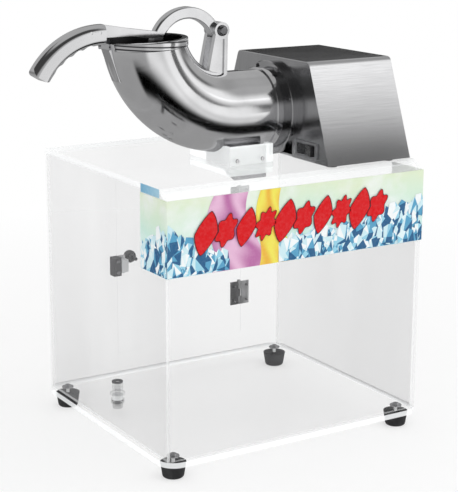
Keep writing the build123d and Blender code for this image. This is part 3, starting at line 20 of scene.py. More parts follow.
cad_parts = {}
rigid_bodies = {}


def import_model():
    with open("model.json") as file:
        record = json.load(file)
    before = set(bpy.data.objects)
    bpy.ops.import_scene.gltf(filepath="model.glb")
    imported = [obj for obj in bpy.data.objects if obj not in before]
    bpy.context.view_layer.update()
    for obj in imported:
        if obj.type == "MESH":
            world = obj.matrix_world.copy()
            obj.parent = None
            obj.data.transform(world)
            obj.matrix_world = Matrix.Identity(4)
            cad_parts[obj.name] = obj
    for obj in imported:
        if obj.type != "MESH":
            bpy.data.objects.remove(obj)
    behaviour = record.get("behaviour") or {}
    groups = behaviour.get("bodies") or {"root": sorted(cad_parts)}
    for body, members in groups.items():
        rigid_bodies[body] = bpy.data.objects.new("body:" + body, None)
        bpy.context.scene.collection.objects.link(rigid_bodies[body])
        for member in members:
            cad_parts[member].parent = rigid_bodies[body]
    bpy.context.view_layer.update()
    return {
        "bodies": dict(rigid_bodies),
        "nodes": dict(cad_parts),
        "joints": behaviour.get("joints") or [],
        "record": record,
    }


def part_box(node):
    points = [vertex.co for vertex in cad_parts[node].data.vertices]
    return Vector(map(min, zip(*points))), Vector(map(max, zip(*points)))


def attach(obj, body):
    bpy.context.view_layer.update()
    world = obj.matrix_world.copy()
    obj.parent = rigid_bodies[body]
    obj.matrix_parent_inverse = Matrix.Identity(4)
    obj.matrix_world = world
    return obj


LOG = logging.getLogger("ice_shaver")
WHITE = (1.0, 1.0, 1.0)
MIX_FIRST, MIX_SECOND, MIX_RESULT = 6, 7, 2  # a Mix node's sockets for colours
DOT_SCALE = 1400.0  # cells in a metre of the print's dot screen

Colour = tuple[float, float, float]
Socket = bpy.types.NodeSocket
Material = bpy.types.Material
Piece = bpy.types.Object


class Axis(Enum):
    """Direction of a sheet's thickness or of a grain."""

    X = 0
    Y = 1
    Z = 2


# ---- node graphs
class NodeGraph:
    """A material's node tree, with short calls for the nodes that the finishes share."""

    def __init__(self, name: str) -> None:
        """Starts an empty material.

        Args:
            name: the material's name.
        """
        self.material = bpy.data.materials.new(name)
        self.material.use_nodes = True
        self.tree = self.material.node_tree
        self.tree.nodes.clear()
        self.output = self.add("OutputMaterial")
        self.coords = self.add("TexCoord")

    @property
    def place(self) -> Socket:
        """Position on the piece, in metres."""
        return self.coords.outputs["Object"]

    def add(self, kind: str) -> bpy.types.Node:
        """Adds a node of a kind, such as Math."""
        return self.tree.nodes.new("ShaderNode" + kind)

    def put(self, socket: Socket, value: Any) -> None:
        """Links a socket into an input, or writes a constant on it.

        Args:
            socket: the input.
            value: a socket, a number or a colour.
        """
        if isinstance(value, bpy.types.NodeSocket):
            self.tree.links.new(value, socket)
        elif isinstance(value, tuple) and len(value) == 3 and len(socket.default_value) == 4:
            socket.default_value = (*value, 1.0)
        else:
            socket.default_value = value

    def stretched(self, scale: tuple[float, float, float]) -> Socket:
        """Position scaled apart along the three axes, for grain.

        Args:
            scale: factor along X, Y and Z.

        Returns:
            The scaled position.
        """
        node = self.add("Mapping")
        node.inputs["Scale"].default_value = scale
        self.tree.links.new(self.place, node.inputs["Vector"])
        return node.outputs["Vector"]

    def noise(self, scale: float, detail: float = 2.0, where: Socket | None = None) -> Socket:
        """Cloudy noise between 0 and 1.

        Args:
            scale: cells in a metre.
            detail: number of finer layers.
            where: position, or the plain one.

        Returns:
            The noise value.
        """
        node = self.add("TexNoise")
        node.inputs["Scale"].default_value = scale
        node.inputs["Detail"].default_value = detail
        self.tree.links.new(where or self.place, node.inputs["Vector"])
        return node.outputs["Fac"]

    def math(self, operation: str, first: Any, second: Any = 0.0, clamp: bool = False) -> Socket:
        """One Math node.

        Args:
            operation: its operation.
            first: socket or number.
            second: socket or number.
            clamp: whether the result stays between 0 and 1.

        Returns:
            The result.
        """
        node = self.add("Math")
        node.operation = operation
        node.use_clamp = clamp
        self.put(node.inputs[0], first)
        self.put(node.inputs[1], second)
        return node.outputs[0]

    def hypotenuse(self, first: Socket, second: Socket) -> Socket:
        """Root of the sum of two squares.

        Args:
            first: one value.
            second: the other value.

        Returns:
            The root.
        """
        squares = self.math("ADD", self.math("MULTIPLY", first, first),
                            self.math("MULTIPLY", second, second))
        return self.math("SQRT", squares)

    def spread(self, value: Socket, low: float, high: float, start: float = 0.3,
               end: float = 0.7) -> Socket:
        """Maps a value from one range onto another, held at both ends.

        Args:
            value: the value.
            low: result at start.
            high: result at end.
            start: lower end of the value's range.
            end: upper end of the value's range.

        Returns:
            The mapped value.
        """
        node = self.add("MapRange")
        node.inputs["From Min"].default_value = start
        node.inputs["From Max"].default_value = end
        node.inputs["To Min"].default_value = low
        node.inputs["To Max"].default_value = high
        self.tree.links.new(value, node.inputs["Value"])
        return node.outputs["Result"]

    def blend(self, factor: Socket, first: Any, second: Any) -> Socket:
        """Blends two colours.

        Args:
            factor: 0 for the first, 1 for the second.
            first: colour or socket.
            second: colour or socket.

        Returns:
            The blended colour.
        """
        node = self.add("Mix")
        node.data_type = "RGBA"
        self.tree.links.new(factor, node.inputs["Factor"])
        self.put(node.inputs[MIX_FIRST], first)
        self.put(node.inputs[MIX_SECOND], second)
        return node.outputs[MIX_RESULT]

    def bump(self, height: Socket, strength: float, depth: float) -> Socket:
        """Bump from a height.

        Args:
            height: the height.
            strength: share of the bump.
            depth: its depth in metres.

        Returns:
            The bent normal.
        """
        node = self.add("Bump")
        node.inputs["Strength"].default_value = strength
        node.inputs["Distance"].default_value = depth
        self.tree.links.new(height, node.inputs["Height"])
        return node.outputs["Normal"]

    def direct_only(self, rest: float) -> Socket:
        """1 where the piece is looked at straight, and less in its shadow and in reflections.

        Args:
            rest: value for every other ray.

        Returns:
            The factor.
        """
        path = self.add("LightPath")
        return self.spread(path.outputs["Is Camera Ray"], rest, 1.0, 0.0, 1.0)

    def unmirrored(self) -> Socket:
        """0 for reflections in other pieces, else 1."""
        path = self.add("LightPath")
        return self.spread(path.outputs["Is Glossy Ray"], 1.0, 0.0, 0.0, 1.0)

    def parts(self, vector: Socket) -> tuple[Socket, Socket, Socket]:
        """The three components of a vector."""
        node = self.add("SeparateXYZ")
        self.tree.links.new(vector, node.inputs[0])
        return node.outputs[0], node.outputs[1], node.outputs[2]

    def finish(self, **inputs: Any) -> Material:
        """Ends the graph in one Principled shader.

        Args:
            **inputs: its inputs, with underscores for spaces.

        Returns:
            The material.
        """
        shader = self.add("BsdfPrincipled")
        for key, value in inputs.items():
            self.put(shader.inputs[key.replace("_", " ")], value)
        self.tree.links.new(shader.outputs["BSDF"], self.output.inputs["Surface"])
        return self.material


# ---- finishes
@dataclass(frozen=True)
class PolishedMetal:
    """Buffed metal: faint cloudy tone, fine swirl scratches and a little waviness."""

    tone: Colour = (0.88, 0.88, 0.89)
    shade: Colour = (0.80, 0.80, 0.81)
    rough: tuple[float, float] = (0.08, 0.15)
    wave: float = 0.00012
    cloud_scale: float = 26.0
    swirl_scale: float = 900.0
    swirl_stretch: tuple[float, float, float] = (1.0, 0.2, 0.6)
    ripple_scale: float = 34.0

    def graph(self, name: str) -> tuple[NodeGraph, Socket, Socket, Socket]:
        """Colour, roughness and normal of the buffed surface.

        Args:
            name: the material's name.

        Returns:
            The graph, the colour, the roughness and the normal.
        """
        g = NodeGraph(name)
        cloud = g.noise(self.cloud_scale, 4.0)
        swirl = g.noise(self.swirl_scale, 3.0, g.stretched(self.swirl_stretch))
        colour = g.blend(g.spread(cloud, 0.0, 1.0), self.tone, self.shade)
        worn = g.math("ADD", cloud, g.math("MULTIPLY", swirl, 0.6))
        rough = g.spread(worn, *self.rough, 0.5, 1.1)
        ripple = g.math("ADD", g.noise(self.ripple_scale, 1.0), g.math("MULTIPLY", swirl, 0.02))
        return g, colour, rough, g.bump(ripple, 0.35, self.wave)

    def build(self, name: str) -> Material:
        """Makes the material."""
        g, colour, rough, normal = self.graph(name)
        return g.finish(Base_Color=colour, Metallic=1.0, Roughness=rough, Normal=normal)


@dataclass(frozen=True)
class HopperMetal(PolishedMetal):
    """Polished outside with a rougher bore whose darker colour is painted shade, told apart by the
    distance to the tube's axis.
    """

    bend: tuple[float, float, float] = (0.02665, -0.030, 0.615)
    bend_r: float = 0.133
    limit: float = 0.0562
    # colour of the bore: painted shade inside the tube
    bore_shade: Colour = (0.16, 0.16, 0.165)
    bore_rough: float = 0.25

    def build(self, name: str) -> Material:
        """Makes the material: the distance to the centre line splits outside from bore.

        Args:
            name: the material's name.

        Returns:
            The material.
        """
        g, colour, rough, normal = self.graph(name)
        x, y, z = g.parts(g.place)
        across = g.math("SUBTRACT", y, self.bend[1])
        dx = g.math("MINIMUM", g.math("SUBTRACT", x, self.bend[0]), 0.0)
        dz = g.math("SUBTRACT", z, self.bend[2])
        off = g.math("SUBTRACT", g.hypotenuse(dx, dz), self.bend_r)
        inside = g.math("LESS_THAN", g.hypotenuse(off, across), self.limit)
        # the bore's darker colour is painted shade; its added roughness is the bore's own
        colour = g.blend(inside, colour, self.bore_shade)
        rough = g.math("ADD", rough, g.math("MULTIPLY", inside, self.bore_rough))
        return g.finish(Base_Color=colour, Metallic=1.0, Roughness=rough, Normal=normal)


@dataclass(frozen=True)
class LippedRing(PolishedMetal):
    """Polished ring with painted shade lines round it for its lips and grooves, square to its own
    tilted axis.
    """

    foot: float = 0.5805
    centre_x: float = -0.10197
    slope: float = 0.0437
    lines: tuple[float, ...] = (0.0022, 0.0072, 0.0140)
    half: float = 0.0007
    # dark: painted shade of the lines
    dark: Colour = (0.10, 0.10, 0.105)

    def build(self, name: str) -> Material:
        """Makes the material: painted shade where the height along the ring's axis meets a line.

        Args:
            name: the material's name.

        Returns:
            The material.
        """
        g, colour, rough, normal = self.graph(name)
        x, _, z = g.parts(g.place)
        lean = g.math("MULTIPLY", g.math("SUBTRACT", x, self.centre_x), self.slope)
        height = g.math("ADD", g.math("SUBTRACT", z, self.foot), lean)
        mask: Any = 0.0
        for line in self.lines:
            gap = g.math("ABSOLUTE", g.math("SUBTRACT", height, line))
            mask = g.math("MAXIMUM", mask, g.spread(gap, 1.0, 0.0, self.half, 2 * self.half))
        return g.finish(Base_Color=g.blend(mask, colour, self.dark), Metallic=1.0,
                        Roughness=rough, Normal=normal)


@dataclass(frozen=True)
class MouthShadedMetal(PolishedMetal):
    """Polished metal with painted shade, and more roughness, below a height where it reaches into
    the mouth.
    """

    level: float = 0.597
    fade: float = 0.006
    # painted shade for the metal inside the mouth
    mouth_shade: Colour = (0.10, 0.10, 0.105)
    dull_rough: float = 0.3

    def build(self, name: str) -> Material:
        """Makes the material: height picks between polish and painted shade.

        Args:
            name: the material's name.

        Returns:
            The material.
        """
        g, colour, rough, normal = self.graph(name)
        shaded = g.spread(g.parts(g.place)[2], 1.0, 0.0, self.level - self.fade, self.level)
        return g.finish(Base_Color=g.blend(shaded, colour, self.mouth_shade), Metallic=1.0,
                        Roughness=g.math("ADD", rough, g.math("MULTIPLY", shaded, self.dull_rough)),
                        Normal=normal)


@dataclass(frozen=True)
class BrushedMetal:
    """Sheet with a fine grain along one axis."""

    grain: Axis = Axis.X
    tone: Colour = (0.84, 0.84, 0.85)
    shade: Colour = (0.72, 0.72, 0.73)
    rough: tuple[float, float] = (0.15, 0.24)
    depth: float = 0.00004
    grain_scale: float = 1600.0
    grain_stretch: float = 0.012
    cloud_scale: float = 9.0

    def build(self, name: str) -> Material:
        """Makes the material: noise drawn out along the grain tints, dulls and dents it.

        Args:
            name: the material's name.

        Returns:
            The material.
        """
        g = NodeGraph(name)
        stretch = [1.0, 1.0, 1.0]
        stretch[self.grain.value] = self.grain_stretch
        lines = g.noise(self.grain_scale, 4.0, g.stretched(tuple(stretch)))
        cloud = g.noise(self.cloud_scale, 3.0)
        mixed = g.math("ADD", g.math("MULTIPLY", lines, 0.7), g.math("MULTIPLY", cloud, 0.3))
        colour = g.blend(g.spread(mixed, 0.0, 1.0, 0.35, 0.65), self.tone, self.shade)
        rough = g.spread(mixed, *self.rough, 0.3, 0.7)
        return g.finish(Base_Color=colour, Metallic=1.0, Roughness=rough,
                        Normal=g.bump(lines, 0.3, self.depth))


@dataclass(frozen=True)
class ClearSheet:
    """Clear acrylic: nearly invisible faces with faint haze and wipe marks.

    Its cut edges carry a painted highlight: a paler colour and a painted glow, standing in for
    light piped out of the sheet.
    """

    thin: Axis = Axis.Y
    haze: float = 0.12
    edge: float = 0.62
    tint: Colour = (0.52, 0.52, 0.53)
    # rim and glow: painted highlight colour and painted glow strength of the cut edges
    rim: Colour = (0.97, 0.985, 0.99)
    glow: float = 0.4
    shadow: float = 0.12
    smear_scale: float = 5.0
    dust_scale: float = 420.0
    edge_facing: tuple[float, float] = (0.55, 0.8)

    def build(self, name: str) -> Material:
        """Makes the material: a face across the sheet's thickness is an edge, painted paler and
        glowing.

        Args:
            name: the material's name.

        Returns:
            The material.
        """
        g = NodeGraph(name)
        facing = g.math("ABSOLUTE", g.parts(g.coords.outputs["Normal"])[self.thin.value])
        edge = g.spread(facing, 1.0, 0.0, *self.edge_facing)
        smear = g.noise(self.smear_scale, 3.0, g.stretched((1.0, 1.0, 0.35)))
        dust = g.spread(g.noise(self.dust_scale, 2.0), 0.0, 0.05, 0.66, 0.8)
        haze = g.math("ADD", g.spread(smear, self.haze * 0.7, self.haze * 1.4), dust)
        alpha = g.math("ADD", haze, g.math("MULTIPLY", edge, self.edge), clamp=True)
        alpha = g.math("MULTIPLY", alpha, g.direct_only(self.shadow))
        # the edges' pale colour and emission are a painted highlight and a painted glow
        return g.finish(
            Base_Color=g.blend(edge, self.tint, self.rim), Alpha=alpha,
            Emission_Color=self.rim, Emission_Strength=g.math("MULTIPLY", edge, self.glow),
            Roughness=g.spread(smear, 0.04, 0.09), IOR=1.49,
            Normal=g.bump(g.noise(14.0, 1.0), 0.1, 0.0002),
        )


@dataclass(frozen=True)
class ClearMoulding:
    """Clear moulded plastic, seen as a pale grey shell, with a dark rim over a height."""

    alpha: tuple[float, float] = (0.10, 0.2)
    tone: Colour = (0.86, 0.88, 0.89)
    shade: Colour = (0.60, 0.62, 0.64)
    rim_z: float = 0.0
    rim: Colour = (0.05, 0.05, 0.055)
    cloud_scale: float = 160.0

    def build(self, name: str) -> Material:
        """Makes the material: cloudy density from noise, dark over the rim's height.

        Args:
            name: the material's name.

        Returns:
            The material.
        """
        g = NodeGraph(name)
        cloud = g.noise(self.cloud_scale, 3.0)
        over = g.math("GREATER_THAN", g.parts(g.place)[2], self.rim_z)
        colour = g.blend(over, g.blend(cloud, self.tone, self.shade), self.rim)
        return g.finish(
            Base_Color=colour, Alpha=g.math("MAXIMUM", g.spread(cloud, *self.alpha), over),
            Roughness=g.spread(cloud, 0.08, 0.16), Normal=g.bump(cloud, 0.15, 0.0003),
        )


@dataclass(frozen=True)
class Grained:
    """Rubber, plastic or paint: fine grain, slight fading and scuffs."""

    tone: Colour
    worn: Colour
    rough: tuple[float, float] = (0.45, 0.6)
    scale: float = 700.0
    depth: float = 0.00015
    metallic: float = 0.0
    wear_scale: float = 55.0

    def build(self, name: str) -> Material:
        """Makes the material: fine noise for the grain, coarse noise for the wear.

        Args:
            name: the material's name.

        Returns:
            The material.
        """
        g = NodeGraph(name)
        grain = g.noise(self.scale, 3.0)
        wear = g.noise(self.wear_scale, 4.0)
        return g.finish(
            Base_Color=g.blend(g.spread(wear, 0.0, 1.0, 0.45, 0.8), self.tone, self.worn),
            Metallic=self.metallic, Roughness=g.spread(wear, *self.rough),
            Normal=g.bump(grain, 0.4, self.depth),
        )


@dataclass(frozen=True)
class TwoTonePlastic(Grained):
    """Dark plastic case whose tongue, past a place along X, is pale."""

    limit: float = -0.0425
    tongue: Colour = (0.62, 0.63, 0.64)

    def build(self, name: str) -> Material:
        """Makes the material: the place along X picks the tone, noise grains and wears it.

        Args:
            name: the material's name.

        Returns:
            The material.
        """
        g = NodeGraph(name)
        wear = g.noise(self.wear_scale, 4.0)
        past = g.math("GREATER_THAN", g.parts(g.place)[0], self.limit)
        case = g.blend(g.spread(wear, 0.0, 1.0, 0.45, 0.8), self.tone, self.worn)
        return g.finish(Base_Color=g.blend(past, case, self.tongue),
                        Roughness=g.spread(wear, *self.rough),
                        Normal=g.bump(g.noise(self.scale, 3.0), 0.4, self.depth))


@dataclass(frozen=True)
class StackedSteel:
    """Rotor and shaft steel with the fine lines of stacked or turned metal along X."""

    tone: Colour = (0.30, 0.30, 0.31)
    shade: Colour = (0.14, 0.14, 0.15)
    band_scale: float = 320.0

    def build(self, name: str) -> Material:
        """Makes the material: bands across X from a wave.

        Args:
            name: the material's name.

        Returns:
            The material.
        """
        g = NodeGraph(name)
        wave = g.add("TexWave")
        wave.bands_direction = "X"
        wave.inputs["Scale"].default_value = self.band_scale
        wave.inputs["Distortion"].default_value = 0.4
        g.tree.links.new(g.place, wave.inputs["Vector"])
        lines = wave.outputs["Fac"]
        return g.finish(Base_Color=g.blend(lines, self.tone, self.shade), Metallic=1.0,
                        Roughness=g.spread(g.noise(80.0), 0.32, 0.46),
                        Normal=g.bump(lines, 0.4, 0.0002))


@dataclass(frozen=True)
class FrostyGround:
    """Printed ground of the band: pale lime above, mint in the middle, icy blue below."""

    low: float = 0.293
    high: float = 0.399
    top: Colour = (0.78, 0.88, 0.66)
    middle: Colour = (0.64, 0.90, 0.82)
    bottom: Colour = (0.46, 0.82, 0.94)
    mist: Colour = (0.93, 0.97, 0.96)
    mist_share: float = 0.75
    drift: float = 0.05

    def build(self, name: str) -> Material:
        """Makes the material: height picks the colour, noise bends it, and mist drifts over it.

        Args:
            name: the material's name.

        Returns:
            The material.
        """
        g = NodeGraph(name)
        height = g.parts(g.place)[2]
        bent = g.math("ADD", height, g.math("MULTIPLY", g.noise(13.0, 3.0), self.drift))
        third = (self.high - self.low) / 3
        lower = g.spread(bent, 0.0, 1.0, self.low + 0.02, self.low + third + 0.02)
        upper = g.spread(bent, 0.0, 1.0, self.low + third + 0.025, self.high + 0.02)
        ground = g.blend(upper, g.blend(lower, self.bottom, self.middle), self.top)
        misty = g.spread(g.noise(24.0, 4.0), 0.0, self.mist_share, 0.45, 0.72)
        dots = g.noise(DOT_SCALE, 1.0)
        return g.finish(Base_Color=g.blend(misty, ground, self.mist), Alpha=g.unmirrored(),
                        Specular_IOR_Level=0.12,
                        Roughness=g.spread(dots, 0.22, 0.3), Normal=g.bump(dots, 0.08, 0.00005))


@dataclass(frozen=True)
class PrintInk:
    """Printed motif whose shade comes from the piece's own colour attribute, with a dot screen."""

    attribute: str = "ink"
    paper: Colour = (0.95, 0.98, 1.0)
    fade: float = 0.03

    def build(self, name: str) -> Material:
        """Makes the material: the attribute's colour, slightly mottled.

        Args:
            name: the material's name.

        Returns:
            The material.
        """
        g = NodeGraph(name)
        ink = g.add("VertexColor")
        ink.layer_name = self.attribute
        mottle = g.noise(260.0, 4.0)
        colour = g.blend(g.spread(mottle, 0.0, self.fade), ink.outputs["Color"], self.paper)
        return g.finish(Base_Color=colour, Alpha=g.unmirrored(), Specular_IOR_Level=0.12,
                        Roughness=g.spread(mottle, 0.22, 0.3),
                        Normal=g.bump(g.noise(DOT_SCALE), 0.08, 0.00005))


RUBBER = Grained((0.022, 0.022, 0.024), (0.05, 0.05, 0.052), (0.5, 0.68), 520.0, 0.0003)
BLACK_PLASTIC = Grained((0.02, 0.02, 0.022), (0.045, 0.045, 0.047), (0.22, 0.34), 900.0, 0.0001)
GREY_PLASTIC = Grained((0.17, 0.17, 0.18), (0.24, 0.24, 0.25), (0.4, 0.55), 800.0, 0.0002)
ENAMEL = Grained((0.10, 0.11, 0.12), (0.16, 0.17, 0.18), (0.28, 0.4), 300.0, 0.0001)
PLATED = PolishedMetal((0.66, 0.66, 0.67), (0.5, 0.5, 0.51), (0.16, 0.28))
CHROMED = PolishedMetal((0.88, 0.88, 0.89), (0.80, 0.80, 0.81), (0.06, 0.12), 0.00008)


# ---- surfaces
def grid_faces(rows: int, columns: int) -> np.ndarray:
    """Quads of a grid whose points run row by row.

    Args:
        rows: points along the first parameter.
        columns: points along the second.

    Returns:
        One row of four indices for each quad.
    """
    first = (np.arange(rows - 1)[:, None] * columns + np.arange(columns - 1)).ravel()
    return np.stack([first, first + columns, first + columns + 1, first + 1], axis=1)


def fan_faces(count: int, sides: int) -> np.ndarray:
    """Triangles of fans, each a hub followed by its rim's points.

    Args:
        count: number of fans.
        sides: points on a rim.

    Returns:
        One row of three indices for each triangle.
    """
    k = np.arange(sides)
    fan = np.stack([np.zeros(sides, int), 1 + k, 1 + (k + 1) % sides], axis=1)
    return (np.arange(count)[:, None, None] * (sides + 1) + fan).reshape(-1, 3)


def mesh_piece(name: str, points: np.ndarray, faces: np.ndarray,
               inks: np.ndarray | None = None) -> Piece:
    """Makes a piece from arrays of points and faces.

    Args:
        name: the piece's name.
        points: one row of x, y, z for each point.
        faces: one row of indices for each face.
        inks: one colour for each face, kept as the attribute "ink".

    Returns:
        The new object, at the origin.
    """
    mesh = bpy.data.meshes.new(name)
    mesh.from_pydata(points.tolist(), [], faces.tolist())
    if inks is not None:
        layer = mesh.color_attributes.new("ink", "FLOAT_COLOR", "CORNER")
        corners = np.repeat(inks, faces.shape[1], axis=0)
        full = np.concatenate([corners, np.ones((len(corners), 1))], axis=1)
        layer.data.foreach_set("color", full.astype(np.float32).ravel())
    mesh.update()
    piece = bpy.data.objects.new(name, mesh)
    bpy.context.scene.collection.objects.link(piece)
    return piece


# ---- dressing
@dataclass
class SubAssembly:
    """A group of the model's nodes, with the finish of each."""

    frame: dict[str, Any]
    finishes: dict[str, str] = field(default_factory=dict)

    def dress(self, library: dict[str, Material]) -> None:
        """Gives each node its material.

        Args:
            library: the materials by name.
        """
        for node, finish in self.finishes.items():
            piece = self.frame["nodes"][node]
            for place in piece.material_slots:
                place.material = library[finish]
            LOG.info("dressed %s in %s", node, finish)


@dataclass
class Cabinet(SubAssembly):
    """Clear box, feet, drain and the fixed fittings of its door."""

    finishes: dict[str, str] = field(default_factory=lambda: {
        "base_plate": "base_acrylic", "front_panel": "front_acrylic",
        "left_panel": "side_acrylic", "right_panel": "side_acrylic",
        "back_panel": "back_acrylic", "top_plate": "top_acrylic",
        "sign_panel": "frosty_ground", "rubber_feet": "foot_rubber",
        "foot_fasteners": "plated_steel",
        "drain_fitting": "clear_moulding", "drain_nut": "clear_moulding",
        "magnetic_catch": "catch_plastic", "panel_screws": "dark_steel",
        "hinge_fixed_leaves": "lit_hinge", "hinge_pins": "plated_steel",
    })


@dataclass
class Door(SubAssembly):
    """Back door with its leaves, strike plate and knob."""

    finishes: dict[str, str] = field(default_factory=lambda: {
        "back_door": "back_acrylic", "hinge_door_leaves": "shaded_hinge",
        "door_screws": "dark_steel", "strike_plate": "plated_steel",
        "door_knob": "black_plastic",
    })


@dataclass
class ShavingHead(SubAssembly):
    """Hopper, collar, chute and the lever's bracket."""

    finishes: dict[str, str] = field(default_factory=lambda: {
        "elbow_hopper": "hopper_aluminium", "hopper_tube": "hopper_aluminium",
        "mouth_ring": "ring_steel",
        "rest_bumper": "foot_rubber", "clamp_ring": "chromed_steel",
        "clamp_screws": "plated_steel", "collar_flange": "shaded_flange_steel",
        "flange_bolts": "plated_steel", "bearing_carrier": "brushed_y",
        "shaft_bearing": "plated_steel", "discharge_spout": "brushed_z",
        "clear_chute": "chute_acrylic", "chute_screws": "cast_aluminium",
        "pivot_bracket": "cast_aluminium", "pivot_pin": "dark_steel",
        "pivot_nut": "plated_steel",
    })


@dataclass
class Lever(SubAssembly):
    """Arm, grip and pusher."""

    finishes: dict[str, str] = field(default_factory=lambda: {
        "lever_arm": "mouth_shaded_aluminium", "handle_grip": "cast_aluminium",
        "grip_pins": "cast_aluminium", "pusher_plate": "mouth_shaded_aluminium",
        "pusher_screws": "mouth_shaded_aluminium",
    })


@dataclass
class Drive(SubAssembly):
    """Spindle, blades and motor."""

    finishes: dict[str, str] = field(default_factory=lambda: {
        "drive_shaft": "stacked_steel", "motor_rotor": "stacked_steel",
        "blade_disc": "blade_steel", "blades": "blade_steel",
        "blade_screws": "plated_steel", "spindle_nut": "plated_steel",
        "motor_body": "dark_enamel", "motor_end_bells": "dark_enamel",
        "motor_mount": "brushed_z", "motor_bolts": "plated_steel",
    })


@dataclass
class Housing(SubAssembly):
    """Motor housing, its base frame, switch and cord gland."""

    finishes: dict[str, str] = field(default_factory=lambda: {
        "housing_cover": "brushed_x", "left_end_plate": "brushed_z",
        "right_end_plate": "brushed_z", "cover_screws": "plated_steel",
        "base_frame": "brushed_y", "machine_feet": "foot_rubber",
        "switch_bezel": "bezel_plastic", "rocker_switch": "black_plastic",
        "cord_gland": "grey_plastic",
    })


# ---- printed band
SHARD_CORNERS = 7
SHARD_TONES = np.array([[0.03, 0.13, 0.28], [0.11, 0.38, 0.60], [0.34, 0.68, 0.84],
                        [0.66, 0.88, 0.94], [0.95, 0.99, 1.0], [0.80, 0.95, 0.98]])
LOZENGE_POWER = 1.3
# half width and height of each kind of motif, and its arms
MOTIF_KINDS = [((0.0175, 0.0290), 0), ((0.0165, 0.0225), 6), ((0.0150, 0.0260), 0),
               ((0.0165, 0.0225), 8)]


@dataclass(frozen=True)
class Heap:
    """A heap of shards: its ends along the band, how high it reaches at them, its count."""

    name: str
    start: float
    end: float
    heights: tuple[float, float]
    count: int


@dataclass(frozen=True)
class Ribbon:
    """A ribbon: middle and width of its foot, its swing, its colours, and its lift."""

    name: str
    centre: float
    width: float
    sway: float
    dark: Colour
    light: Colour
    lift: float


